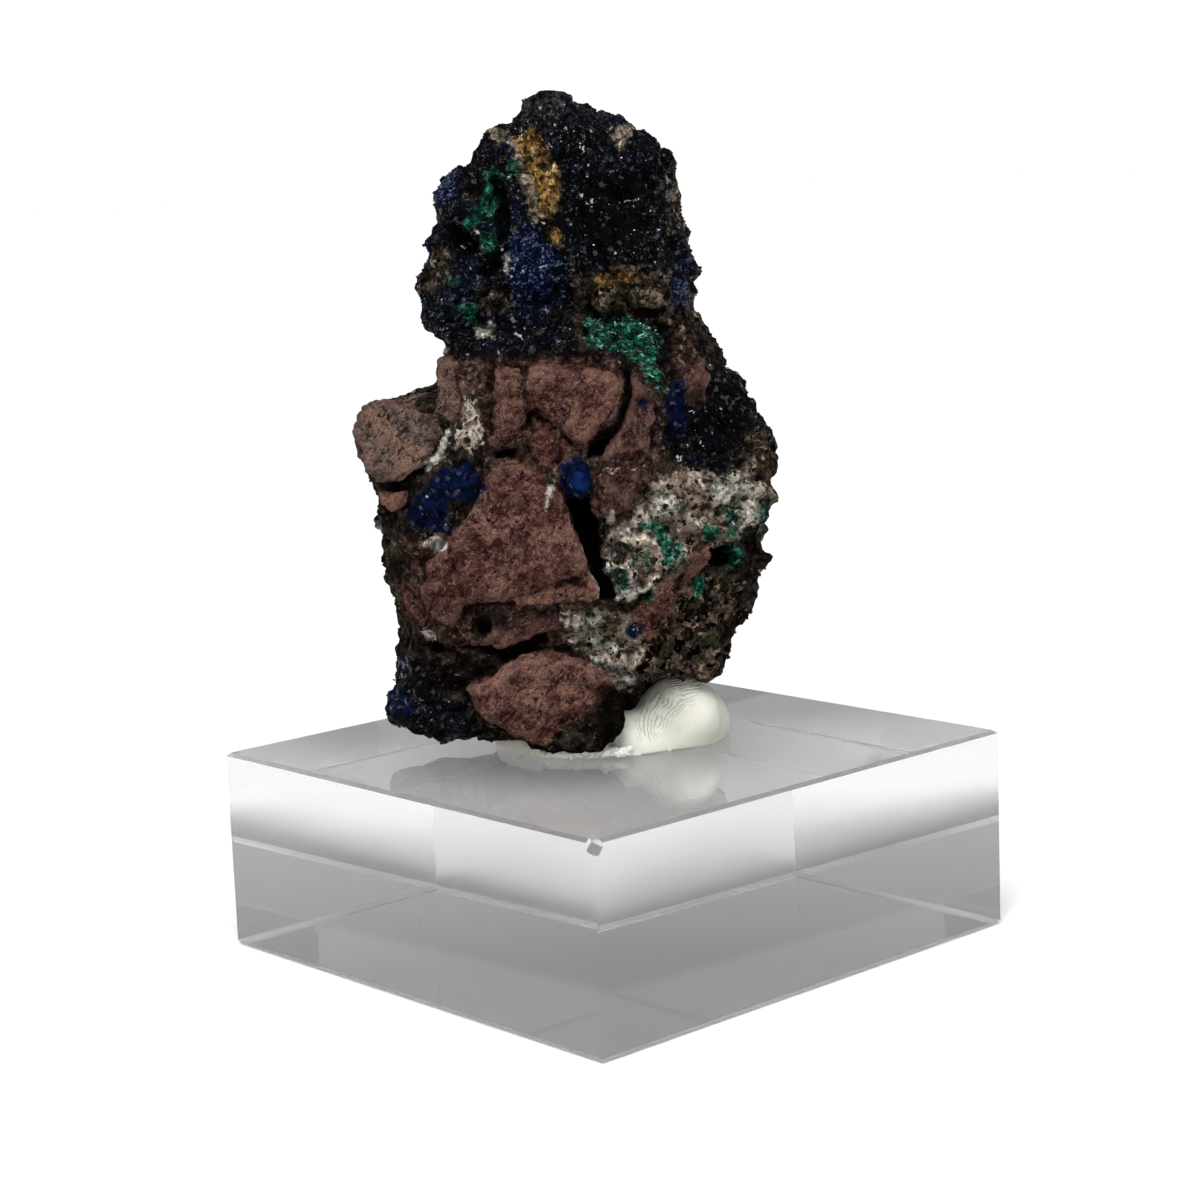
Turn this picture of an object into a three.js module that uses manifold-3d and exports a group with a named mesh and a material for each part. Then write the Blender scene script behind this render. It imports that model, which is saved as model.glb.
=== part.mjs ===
// A specimen of azurite and malachite on red-brown breccia. The lump of rock is one solid: angular clasts
// in a dark matrix, with crystal crusts grown on it. A pad of white mineral putty holds it on a clear
// acrylic block.
// Lengths are millimetres and +Z is up. The origin is the centre of the block's underside, and X and Y run
// along the block's edges.
import * as THREE from "three";
import { ConvexGeometry } from "three/addons/geometries/ConvexGeometry.js";
import { LoftGeometry } from "three/addons/geometries/LoftGeometry.js";
import { mergeVertices } from "three/addons/utils/BufferGeometryUtils.js";
import Module from "manifold-3d";

const wasm = await Module();
wasm.setup();

// Clear acrylic block
const BLOCK_SIDE = 55;
const BLOCK_HEIGHT = 20;
const BLOCK_BEVEL = 0.35;
const CHIP_HALF = [1.3, 1.3, 1.7];

// The rock has its own directions: x along its broken face, y away from that face, z up.
// The broken face looks out over one corner of the block.
const FACE_TURN = THREE.MathUtils.degToRad(-42.4);

// What rests on a neighbour keeps this gap to it.
const PAD_GAP = 0.02;
const SOCKET_GAP = 0.3;

// The rock's body, from its foot to its peak: height, left edge, right edge, front face, back face
const STATIONS = [
  [21.4, -12.5, -2.0, -4.4, 3.5],
  [23.0, -19.4, 1.2, -6.0, 7.0],
  [25.2, -21.2, 3.0, -6.6, 9.5],
  [27.0, -20.6, 10.6, -6.8, 11.5],
  [31.0, -19.8, 12.2, -7.4, 12.5],
  [34.0, -19.8, 13.4, -8.4, 14.0],
  [37.0, -21.2, 15.0, -8.9, 15.0],
  [40.0, -21.4, 16.0, -9.0, 15.6],
  [43.0, -21.0, 16.4, -9.1, 15.4],
  [46.0, -21.6, 17.4, -9.1, 15.6],
  [49.0, -22.8, 16.4, -9.1, 15.0],
  [52.0, -23.4, 14.6, -9.0, 14.6],
  [54.4, -22.2, 13.3, -8.9, 14.2],
  [56.0, -15.4, 12.4, -8.8, 13.8],
  [58.0, -14.6, 11.8, -8.5, 13.2],
  [60.0, -14.4, 11.0, -7.6, 12.4],
  [61.6, -15.0, 10.2, -4.8, 12.0],
  [64.0, -15.9, 9.2, -4.4, 11.0],
  [67.0, -16.4, 9.0, -4.2, 10.2],
  [70.0, -15.4, 8.9, -3.8, 9.4],
  [73.0, -15.4, 8.8, -3.4, 8.6],
  [76.2, -14.6, 8.2, -2.8, 7.6],
  [78.0, -10.9, 7.4, -2.4, 6.8],
  [80.0, -9.9, 6.2, -1.8, 5.6],
  [82.2, -7.4, 0.8, -1.0, 4.6],
  [84.7, -4.2, -2.4, 0.2, 3.0],
];
const OUTLINE_DEPTH = 2;
// The broken face ends at this ledge, and the crust above it lies further back.
const STEP_HEIGHT = 60.5;
const RING_POINTS = 30;
const RINGS = 31;
// The broken face turns into the right side where the outward direction's x passes this.
const FACE_REACH = 0.35;
const LEFT_SQUARENESS = 4.2;
const RIGHT_SQUARENESS = 2.3;
const BACK_SQUARENESS = 2.5;
// The broken lumps that the body's surface steps in and out by
const LUMP_SIZE = 4.8;
const LUMP_STEP = 1.3;
const LUMP_TILT = 0.45;
const FACE_LUMP_SHARE = 0.3;
// Half the turn and half the rise over which the surface's direction is measured
const NORMAL_TURN = 0.1;
const NORMAL_RISE = 1;

// Faceted lumps: how many corners, and how far out the corners lie as a share of the half size
const LUMP_CORNERS = 14;
const PIT_CORNERS = 12;
const OUTER_CORNERS = 15;
const CORNER_REACH = [0.86, 1.06];
// Where each family of lumps starts its random numbers
const SEEDS = { knob: 100, clast: 200, outer: 300, pit: 400, bed: 500, chip: 600 };

// Knobs that stand out of the body along its outline: centre, then half sizes along x, y and z
const KNOBS = [
  { at: [-16.6, -0.6, 24.6], half: [5.2, 6.4, 4.2] },
  { at: [7.4, 2.6, 29.6], half: [4.6, 7.2, 3.4] },
  { at: [10.2, 1.0, 34.0], half: [4.6, 6.6, 3.4] },
  { at: [12.2, 2.0, 38.4], half: [4.6, 7.0, 3.2] },
  { at: [12.8, 0.5, 43.4], half: [4.6, 7.4, 3.4] },
  { at: [13.0, 1.2, 47.8], half: [5.0, 7.6, 3.2] },
  { at: [9.8, 1.8, 53.0], half: [4.6, 7.2, 3.4] },
  { at: [8.0, 1.4, 58.2], half: [4.6, 6.8, 3.2] },
  { at: [5.6, 1.4, 64.6], half: [4.2, 6.8, 3.2] },
  { at: [5.4, 1.8, 70.6], half: [4.4, 6.0, 3.2] },
  { at: [3.4, 1.2, 77.0], half: [4.2, 4.8, 3.4] },
  { at: [-3.6, 1.4, 81.2], half: [2.9, 3.6, 3.4] },
  { at: [-7.4, 1.0, 78.4], half: [4.0, 4.6, 3.6] },
  { at: [-11.6, 0.5, 74.4], half: [4.6, 5.8, 2.7] },
  { at: [-12.2, -0.5, 67.0], half: [5.0, 6.4, 4.4] },
  { at: [-20.0, -1.6, 51.2], half: [4.2, 6.6, 4.6] },
  { at: [-17.8, 0.5, 40.2], half: [4.4, 6.6, 4.2] },
  { at: [-17.0, 1.0, 34.0], half: [4.2, 6.8, 4.6] },
];

// A clast on the broken face has a shoulder, a rim just under its face, and a root in the body. Each is its
// outline at a share of its full size. The rim's share varies. The sinks are measured back from the face.
const SHOULDER_SHARE = 0.97;
const SHOULDER_SINK = 0.95;
const RIM_SHARES = [0.84, 0.9];
const RIM_SINK = 0.22;
const CROWN_RISE = 0.1;
const ROOT_SHARE = 0.9;
// The clasts themselves: the outline on the face as x and z, the depth of the face, its slope along x and z,
// and the depth of the root
const FACE_CLASTS = [
  {
    outline: [[-6.4, 58.8], [-1.9, 58.7], [1.7, 57.9], [2.6, 56.6], [1.5, 53.9], [-1.1, 50.9],
      [-2.6, 51.4], [-6.3, 54.6]],
    face: -10.3, slope: [0.03, -0.02], root: -4,
  },
  {
    outline: [[-9.8, 59.0], [-7.0, 58.8], [-7.0, 54.8], [-6.5, 53.2], [-8.8, 51.0], [-9.9, 52.0]],
    face: -10.0, slope: [-0.04, 0.02], root: -4,
  },
  {
    outline: [[-6.4, 52.7], [-5.0, 52.9], [-3.2, 51.2], [-3.5, 49.3], [-5.2, 48.7], [-6.8, 50.0]],
    face: -9.8, slope: [0.02, 0.05], root: -4,
  },
  {
    outline: [[3.6, 57.5], [5.3, 56.2], [5.9, 54.5], [5.0, 49.6], [-0.4, 48.9], [-0.2, 50.4],
      [1.4, 52.2], [2.6, 54.7]],
    face: -10.0, slope: [0.10, 0.02], root: -4,
  },
  {
    outline: [[4.6, 49.2], [3.2, 44.4], [1.2, 43.2], [-0.2, 44.4], [-0.7, 47.6], [0.2, 48.8]],
    face: -10.1, slope: [0.12, 0.03], root: -4,
  },
  {
    outline: [[-10.2, 49.6], [-7.9, 50.0], [-5.0, 48.1], [-3.4, 46.4], [-1.8, 41.8], [-0.6, 38.3],
      [-9.2, 36.2],
      [-13.2, 36.0], [-14.9, 42.6], [-11.6, 45.8]],
    face: -10.6, slope: [0.01, -0.03], root: -4,
  },
  {
    outline: [[-0.5, 37.9], [0.1, 35.8], [-8.6, 35.6], [-8.8, 36.0]],
    face: -10.0, slope: [-0.02, -0.10], root: -4,
  },
  {
    outline: [[-17.0, 40.2], [-15.0, 42.4], [-13.3, 35.9], [-14.4, 33.7], [-16.3, 34.2], [-17.6, 37.1]],
    face: -9.9, slope: [-0.10, 0.02], root: -4,
  },
  {
    outline: [[-22.9, 55.4], [-20.5, 56.0], [-17.5, 55.3], [-15.2, 54.5], [-14.8, 52.6],
      [-16.2, 49.9], [-18.8, 48.0],
      [-21.6, 47.6], [-23.2, 50.4], [-23.8, 53.0]],
    face: -8.8, slope: [-0.12, -0.04], root: -4,
  },
  {
    outline: [[-21.4, 47.2], [-18.4, 47.4], [-18.4, 45.7], [-20.2, 44.7], [-21.4, 46.0]],
    face: -8.2, slope: [-0.10, 0.05], root: -3,
  },
  {
    outline: [[-14.0, 27.9], [-11.1, 29.4], [-8.2, 30.9], [-5.9, 31.3], [-3.0, 30.8], [-0.3, 29.3],
      [2.0, 27.4],
      [1.2, 25.4], [-1.6, 23.4], [-4.5, 22.2], [-6.6, 21.1], [-9.4, 22.6], [-12.4, 24.7], [-13.5, 26.4]],
    face: -10.2, slope: [0.02, 0.10], root: -2,
  },
  {
    outline: [[-10.9, 35.0], [-5.7, 35.2], [-3.4, 34.5], [-4.2, 33.1], [-7.5, 31.9], [-9.9, 31.0],
      [-12.8, 31.5], [-13.4, 32.7]],
    face: -9.8, slope: [0.04, -0.06], root: -3,
  },
  {
    outline: [[-19.6, 38.2], [-17.5, 37.0], [-16.5, 34.1], [-18.4, 34.0], [-19.6, 35.6]],
    face: -8.8, slope: [-0.08, 0.02], root: 0,
  },
  {
    outline: [[3.0, 33.4], [4.4, 35.4], [6.7, 36.4], [8.4, 35.9], [5.8, 32.7]],
    face: -7.4, slope: [0.20, 0.02], root: 0,
  },
  {
    outline: [[6.2, 35.8], [8.8, 38.8], [10.9, 41.2], [11.6, 40.2], [8.8, 36.8], [7.4, 35.2]],
    face: -6.2, slope: [0.28, 0.05], root: 0,
  },
  {
    outline: [[8.7, 57.6], [10.6, 58.8], [11.2, 56.4], [10.2, 53.6], [8.8, 54.2]],
    face: -5.4, slope: [0.30, 0.04], root: 1,
  },
  {
    outline: [[-15.2, 59.4], [-13.4, 60.2], [-12.6, 56.6], [-13.4, 53.6], [-15.4, 54.8]],
    face: -6.2, slope: [-0.12, 0.0], root: 1,
  },
  {
    outline: [[5.4, 31.8], [8.6, 33.4], [11.4, 31.6], [11.2, 27.0], [7.2, 25.8], [3.8, 28.4]],
    face: -5.6, slope: [0.22, 0.06], root: 1,
  },
];

// How much of a clast's thickness its middle lies below the surface
const SUNK_SHARE = 0.24;
// Clasts round the sides and the back: height, bearing in degrees (0 is +x, 90 is the back),
// then how wide, how tall and how thick each one is
const OUTER_CLASTS = [
  [29, 64, 15, 11, 8], [30, 116, 16, 12, 8], [39, 88, 17, 14, 8], [42, 142, 14, 16, 8],
  [44, 42, 14, 13, 8], [51, 112, 16, 13, 8], [53, 70, 14, 12, 8], [60, 140, 12, 11, 7],
  [63, 96, 14, 11, 7], [67, 62, 12, 12, 8], [70, 122, 12, 11, 7], [75, 86, 12, 9, 6],
];

// Hollows in the face: centre, then half sizes
const PITS = [
  { at: [11.4, -5.0, 39.2], half: [1.7, 3.6, 1.3] },
  { at: [-9.4, -5.0, 68.4], half: [1.9, 2.6, 2.4] },
  { at: [-9.0, -4.6, 73.2], half: [1.3, 2.2, 2.8] },
  { at: [-12.4, -4.6, 64.8], half: [1.6, 2.2, 1.2] },
  { at: [3.6, -4.6, 72.4], half: [2.6, 1.6, 3.0] },
  { at: [7.6, -5.6, 61.2], half: [1.0, 2.2, 2.0] },
  { at: [-16.6, -6.6, 31.8], half: [1.8, 2.0, 1.0] },
  { at: [1.8, -8.6, 40.2], half: [1.2, 1.8, 1.8] },
  { at: [12.6, -4.2, 52.0], half: [1.6, 2.0, 2.6] },
  { at: [-4.0, 15.5, 34.0], half: [2.6, 2.2, 1.6] },
  { at: [5.0, 12.0, 61.0], half: [2.0, 2.4, 1.6] },
];

// The open crack down the middle of the face, and the blue crystal lodged in its upper end
const CRACK = [
  [-3.0, 46.2], [-1.0, 46.6], [-0.6, 43.4], [0.1, 39.6],
  [1.1, 36.0], [0.0, 36.0], [-1.3, 39.8], [-2.4, 43.2],
];
const CRACK_FRONT = -12;
const CRACK_BACK = -6;
const LODGED_CRYSTAL = { at: [-2.1, -9.2, 47.7], half: [1.35, 1.5, 2.0] };

// Crystal crusts on the body: how many, heights, bearings, and crystal sizes
const CRUSTS = [
  { seed: 11, count: 26, heights: [62, 79.5], bearings: [205, 335], sizes: [1.4, 2.6] },
  { seed: 12, count: 6, heights: [59.4, 61.6], bearings: [215, 320], sizes: [1.3, 2.0] },
  { seed: 13, count: 8, heights: [47, 58], bearings: [300, 350], sizes: [1.4, 2.4] },
  { seed: 44, count: 6, heights: [23, 28], bearings: [190, 235], sizes: [1.3, 2.2] },
  { seed: 15, count: 10, heights: [34, 47], bearings: [305, 355], sizes: [1.3, 2.2] },
  { seed: 16, count: 8, heights: [26, 80], bearings: [10, 180], sizes: [1.4, 2.6] },
];
// How far a crystal's root reaches into the rock, its tip's length and half sizes as shares of its size,
// and how far it may lean
const CRYSTAL_ROOT = 2.6;
const TIP_SHARE = 0.68;
const CRYSTAL_HALF_WIDTH = 0.62;
const CRYSTAL_HALF_THICKNESS = 0.5;
const CRYSTAL_LEAN = 1.6;
// Malachite: the bed on the ledge, then the sprays that lie nearly flat on it, each with where it starts,
// the way it points, and how many blades it has
const MALACHITE_BED = [
  { at: [-0.2, -4.4, 61.2], half: [2.6, 2.2, 1.5] },
  { at: [3.4, -4.6, 60.6], half: [3.0, 2.4, 1.7] },
  { at: [6.0, -4.6, 57.8], half: [1.4, 2.2, 2.8] },
];
const SPRAYS = [
  { seed: 21, at: [-0.2, -5.6, 61.4], aim: [1.0, -0.2, -0.1], blades: 3 },
  { seed: 27, at: [2.4, -6.0, 61.2], aim: [1.0, -0.3, -0.3], blades: 4 },
  { seed: 23, at: [5.0, -5.8, 60.0], aim: [0.7, -0.4, -0.7], blades: 4 },
  { seed: 24, at: [6.2, -5.6, 57.4], aim: [0.2, -0.3, -1.0], blades: 3 },
];
const BLADE_LENGTH = 1.6;
const BLADE_WIDTH = 1.1;
const BLADE_SPREAD = 0.7;

// Putty: the pad under the rock and the pressed lobe that shows beside it
const PAD = { at: [-0.6, 0.6, 20], half: [11.2, 8.0, 5.0] };
const LOBE = { at: [6.8, 2.6, 21.2], half: [5.8, 7.6, 5.6] };
// The balls that the putty is made of, and the box above the block that trims them
const BALL_SIDES = 18;
const BALL_RINGS = 10;
const TRAY_SIZE = 80;

// Colours and roughness
const ROCK_LOOK = { color: 0x54403c, roughness: 0.8 };
const PUTTY_LOOK = { color: 0xd6d8cb, roughness: 0.75 };
const ACRYLIC_LOOK = { color: 0xe6e6e4, roughness: 0.04, opacity: 0.35 };

// Repeatable random numbers from 0 to 1
function randomFrom(seed) {
  let state = seed * 2654435761;
  return () => {
    state = (state + 0x6d2b79f5) | 0;
    let mixed = Math.imul(state ^ (state >>> 15), 1 | state);
    mixed = (mixed + Math.imul(mixed ^ (mixed >>> 7), 61 | mixed)) ^ mixed;
    return ((mixed ^ (mixed >>> 14)) >>> 0) / 4294967296;
  };
}

const between = (random, [low, high]) => low + (high - low) * random();

// Solids to join and cut, and back again
function solidOf(geometry) {
  geometry.deleteAttribute("normal");
  geometry.deleteAttribute("uv");
  const merged = mergeVertices(geometry, 1e-4);
  return new wasm.Manifold(
    new wasm.Mesh({
      numProp: 3,
      vertProperties: merged.attributes.position.array,
      triVerts: new Uint32Array(merged.index.array),
    }),
  );
}

function geometryOf(solid) {
  const mesh = solid.getMesh();
  const geometry = new THREE.BufferGeometry();
  geometry.setAttribute("position", new THREE.BufferAttribute(mesh.vertProperties, 3));
  geometry.setIndex(new THREE.BufferAttribute(mesh.triVerts, 1));
  geometry.computeVertexNormals();
  return geometry;
}

const joined = (solids) => solids.reduce((whole, solid) => whole.add(solid));

// Body of the rock
function stationAt(height) {
  const upper = Math.max(1, STATIONS.findIndex((station) => station[0] >= height));
  const [low, high] = [STATIONS[upper - 1], STATIONS[upper]];
  const share = THREE.MathUtils.clamp((height - low[0]) / (high[0] - low[0]), 0, 1);
  const [, left, right, front, back] = low.map((value, i) => THREE.MathUtils.lerp(value, high[i], share));
  return { left, right, front, back };
}

function smoothPoint(height, bearing) {
  const { left, right, front, back } = stationAt(height);
  const across = Math.cos(bearing);
  const along = Math.sin(bearing);
  const frontSquareness = across < 0 ? LEFT_SQUARENESS : RIGHT_SQUARENESS;
  const squareness = along > 0 ? BACK_SQUARENESS : frontSquareness;
  const squared = (value) => Math.sign(value) * Math.abs(value) ** (2 / squareness);
  const depth = along < 0 ? OUTLINE_DEPTH - front : back - OUTLINE_DEPTH;
  return new THREE.Vector3(
    (left + right) / 2 + ((right - left) / 2) * squared(across),
    OUTLINE_DEPTH + depth * squared(along),
    height,
  );
}

function bodyPoint(height, bearing, grow = 0) {
  const point = smoothPoint(height, bearing);
  const outward = new THREE.Vector3(Math.cos(bearing), Math.sin(bearing), 0);
  const onFace = outward.y < 0 && outward.x < FACE_REACH && height < STEP_HEIGHT;
  const lumps = brokenLump(point) * (onFace ? FACE_LUMP_SHARE : 1);
  return point.addScaledVector(outward, lumps + grow);
}

// How far the surface steps out at a point: each lump of the rock has its own level and its own tilt
function brokenLump(point) {
  const cell = point.clone().divideScalar(LUMP_SIZE).floor();
  let nearest = Infinity;
  let step = 0;
  for (const x of [-1, 0, 1]) {
    for (const y of [-1, 0, 1]) {
      for (const z of [-1, 0, 1]) {
        const corner = cell.clone().add(new THREE.Vector3(x, y, z));
        const random = randomFrom(1 + Math.abs(corner.x * 73 + corner.y * 179 + corner.z * 283));
        const seat = new THREE.Vector3(random(), random(), random()).add(corner).multiplyScalar(LUMP_SIZE);
        const tilt = new THREE.Vector3(random() - 0.5, random() - 0.5, random() - 0.5);
        tilt.multiplyScalar(2 * LUMP_TILT);
        const away = point.clone().sub(seat);
        if (away.length() < nearest) {
          nearest = away.length();
          step = LUMP_STEP * (2 * random() - 1) + away.dot(tilt);
        }
      }
    }
  }
  return step;
}

function bodyNormal(height, bearing) {
  const round = smoothPoint(height, bearing + NORMAL_TURN).sub(smoothPoint(height, bearing - NORMAL_TURN));
  const up = smoothPoint(height + NORMAL_RISE, bearing).sub(smoothPoint(height - NORMAL_RISE, bearing));
  return round.cross(up).normalize();
}

// The body is skinned over rings of points, from its foot to its peak.
const FOOT = STATIONS[0][0];
const PEAK = STATIONS[STATIONS.length - 1][0];
const ringHeight = (ring) => THREE.MathUtils.lerp(FOOT, PEAK, ring / RINGS);
const ringBearing = (place) => (place / RING_POINTS) * 2 * Math.PI;

function bodySolid(grow = 0) {
  const rings = [];
  for (let i = 0; i <= RINGS; i++) {
    const ring = [];
    for (let j = 0; j < RING_POINTS; j++) {
      ring.push(bodyPoint(ringHeight(i), ringBearing(j), grow));
    }
    rings.push(ring);
  }
  rings[0].forEach((point) => (point.z -= grow));
  return solidOf(new LoftGeometry(rings, { capStart: true, capEnd: true }));
}

// Points scattered evenly over an ellipsoid, some further out than others
function lumpPoints(half, seed, corners) {
  const random = randomFrom(seed);
  const golden = Math.PI * (3 - Math.sqrt(5));
  const points = [];
  for (let i = 0; i < corners; i++) {
    const rise = 1 - (2 * (i + 0.5)) / corners;
    const round = Math.sqrt(1 - rise * rise);
    const turn = golden * i + random();
    const reach = between(random, CORNER_REACH);
    const point = new THREE.Vector3(round * Math.cos(turn), round * Math.sin(turn), rise);
    points.push(point.multiplyScalar(reach).multiply(new THREE.Vector3(...half)));
  }
  return points;
}

// A faceted lump: the hull of those points
function lumpSolid({ at, half }, seed, grow = 0, corners = LUMP_CORNERS) {
  const points = lumpPoints(half.map((size) => size + grow), seed, corners);
  return solidOf(new ConvexGeometry(points).translate(...at));
}

// A clast on the broken face: a shoulder ring, a smaller ring on the face, and a root in the body
function clastSolid({ outline, face, slope, root }, seed, grow = 0) {
  const random = randomFrom(seed);
  const ring = outline.map(([x, z]) => new THREE.Vector2(x, z));
  const centre = ring.reduce((sum, point) => sum.add(point), new THREE.Vector2()).divideScalar(ring.length);
  const points = [];
  const faceAt = (x, z) => face + slope[0] * (x - centre.x) - slope[1] * (z - centre.y);
  const place = (share, sink) => {
    for (const corner of ring) {
      const spot = corner.clone().sub(centre);
      spot.setLength(spot.length() * share + grow).add(centre);
      points.push(new THREE.Vector3(spot.x, faceAt(spot.x, spot.y) + sink - grow, spot.y));
    }
  };
  place(SHOULDER_SHARE, SHOULDER_SINK);
  place(between(random, RIM_SHARES), RIM_SINK);
  const crown = [centre.x + random() - 0.5, face - CROWN_RISE - grow, centre.y + random() - 0.5];
  points.push(new THREE.Vector3(...crown));
  for (const corner of ring) {
    const spot = corner.clone().sub(centre).multiplyScalar(ROOT_SHARE).add(centre);
    points.push(new THREE.Vector3(spot.x, root, spot.y));
  }
  return solidOf(new ConvexGeometry(points));
}

// A clast on the side or the back: a faceted lump turned to lie on the body there, and sunk well into it
function outerClastSolid([height, bearing, width, tall, thick], seed) {
  const angle = THREE.MathUtils.degToRad(bearing);
  const normal = bodyNormal(height, angle);
  const seat = bodyPoint(height, angle).addScaledVector(normal, -SUNK_SHARE * thick);
  const turn = new THREE.Quaternion().setFromUnitVectors(new THREE.Vector3(0, 1, 0), normal);
  const points = lumpPoints([width / 2, thick / 2, tall / 2], seed, OUTER_CORNERS);
  return solidOf(new ConvexGeometry(points.map((point) => point.applyQuaternion(turn).add(seat))));
}

// One crystal: a stubby double pyramid. Its root is longer than its tip, and is hidden in the rock.
function crystalSolid(seat, aim, width, tip, root, turn) {
  const shape = new THREE.OctahedronGeometry(1);
  const corners = shape.attributes.position;
  for (let i = 0; i < corners.count; i++) {
    corners.setZ(i, corners.getZ(i) * (corners.getZ(i) > 0 ? tip : root));
  }
  shape.scale(width * CRYSTAL_HALF_WIDTH, width * CRYSTAL_HALF_THICKNESS, 1);
  shape.rotateZ(turn);
  shape.applyQuaternion(new THREE.Quaternion().setFromUnitVectors(new THREE.Vector3(0, 0, 1), aim));
  shape.translate(seat.x, seat.y, seat.z);
  return solidOf(shape);
}

function crustSolids({ seed, count, heights, bearings, sizes }) {
  const random = randomFrom(seed);
  const solids = [];
  for (let i = 0; i < count; i++) {
    const height = ringHeight(Math.round(((between(random, heights) - FOOT) / (PEAK - FOOT)) * RINGS));
    const bearing = ringBearing(Math.round((between(random, bearings) / 360) * RING_POINTS));
    const lean = new THREE.Vector3(random() - 0.5, random() - 0.5, random() - 0.5);
    const aim = bodyNormal(height, bearing).addScaledVector(lean, CRYSTAL_LEAN).normalize();
    const size = between(random, sizes);
    const seat = bodyPoint(height, bearing);
    solids.push(crystalSolid(seat, aim, size, size * TIP_SHARE, CRYSTAL_ROOT, random() * Math.PI));
  }
  return solids;
}

function spraySolids({ seed, at, aim, blades }) {
  const random = randomFrom(seed);
  const solids = [];
  for (let i = 0; i < blades; i++) {
    const lean = new THREE.Vector3(random() - 0.5, random() - 0.5, random() - 0.5);
    const way = new THREE.Vector3(...aim).addScaledVector(lean, BLADE_SPREAD).normalize();
    const spot = new THREE.Vector3(...at).addScaledVector(lean, BLADE_LENGTH);
    solids.push(crystalSolid(spot, way, BLADE_WIDTH, BLADE_LENGTH, BLADE_LENGTH, random() * Math.PI));
  }
  return solids;
}

function crackSolid() {
  const outline = new THREE.Shape(CRACK.map(([x, z]) => new THREE.Vector2(x, z)));
  const shape = new THREE.ExtrudeGeometry(outline, { depth: CRACK_BACK - CRACK_FRONT, bevelEnabled: false });
  shape.rotateX(Math.PI / 2);
  shape.translate(0, CRACK_BACK, 0);
  return solidOf(shape);
}

// The forms that give the rock its bulk. A grown copy of them cuts the socket in the putty.
function bulkSolids(grow = 0) {
  return [
    bodySolid(grow),
    ...KNOBS.map((knob, i) => lumpSolid(knob, SEEDS.knob + i, grow)),
    ...FACE_CLASTS.map((clast, i) => clastSolid(clast, SEEDS.clast + i, grow)),
  ];
}

function rockSolid() {
  const outerClasts = OUTER_CLASTS.map((clast, i) => outerClastSolid(clast, SEEDS.outer + i));
  const bulk = joined([...bulkSolids(), ...outerClasts]);
  const pits = PITS.map((pit, i) => lumpSolid(pit, SEEDS.pit + i, 0, PIT_CORNERS));
  const cracked = bulk.subtract(joined(pits)).subtract(crackSolid());
  const beds = [LODGED_CRYSTAL, ...MALACHITE_BED].map((bed, i) => lumpSolid(bed, SEEDS.bed + i));
  return joined([cracked, ...beds, ...CRUSTS.flatMap(crustSolids), ...SPRAYS.flatMap(spraySolids)]);
}

// Putty
function puttySolid() {
  const floor = BLOCK_HEIGHT + PAD_GAP;
  const ball = ({ at, half }) => {
    const sphere = new THREE.SphereGeometry(1, BALL_SIDES, BALL_RINGS);
    return solidOf(sphere.scale(...half).translate(...at));
  };
  const tray = new THREE.BoxGeometry(TRAY_SIZE, TRAY_SIZE, TRAY_SIZE);
  const above = tray.translate(0, 0, floor + TRAY_SIZE / 2);
  const pressed = ball(PAD).add(ball(LOBE)).intersect(solidOf(above));
  return pressed.subtract(joined(bulkSolids(SOCKET_GAP)));
}

// Acrylic block, with the small chip at its front corner
function blockSolid() {
  const flat = BLOCK_SIDE - 2 * BLOCK_BEVEL;
  const square = new THREE.Shape();
  square.moveTo(-flat / 2, -flat / 2);
  square.lineTo(flat / 2, -flat / 2);
  square.lineTo(flat / 2, flat / 2);
  square.lineTo(-flat / 2, flat / 2);
  const slab = new THREE.ExtrudeGeometry(square, {
    depth: BLOCK_HEIGHT - 2 * BLOCK_BEVEL,
    bevelSize: BLOCK_BEVEL,
    bevelThickness: BLOCK_BEVEL,
    bevelSegments: 1,
  }).translate(0, 0, BLOCK_BEVEL);
  const chip = { at: [-BLOCK_SIDE / 2, -BLOCK_SIDE / 2, BLOCK_HEIGHT], half: CHIP_HALF };
  return solidOf(slab).subtract(lumpSolid(chip, SEEDS.chip));
}

function sub(name, solid, { color, roughness, opacity = 1 }) {
  const material = new THREE.MeshStandardMaterial({
    color,
    roughness,
    metalness: 0,
    opacity,
    transparent: opacity < 1,
    flatShading: true,
  });
  const mesh = new THREE.Mesh(geometryOf(solid), material);
  mesh.name = name;
  return mesh;
}

const turned = new THREE.Group();
turned.rotation.z = FACE_TURN;
turned.add(sub("rock_specimen", rockSolid(), ROCK_LOOK));
turned.add(sub("putty_pad", puttySolid(), PUTTY_LOOK));

const specimen = new THREE.Group();
specimen.add(sub("acrylic_block", blockSolid(), ACRYLIC_LOOK));
specimen.add(turned);

export default specimen;
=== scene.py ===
# %% [markdown]
# # An azurite and malachite specimen
#
# The specimen is a rough lump of breccia: red-brown broken stones, cemented by a dark matrix, with blue
# azurite, green malachite and pale quartz grown over it. White mineral putty holds it on a clear acrylic
# block. The solids come packed as a frame, in metres, with +Z up. This lesson dresses them: each cell makes
# one piece or one finish. The box of the frame is kept, because the dressed model has to stay inside it.

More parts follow.
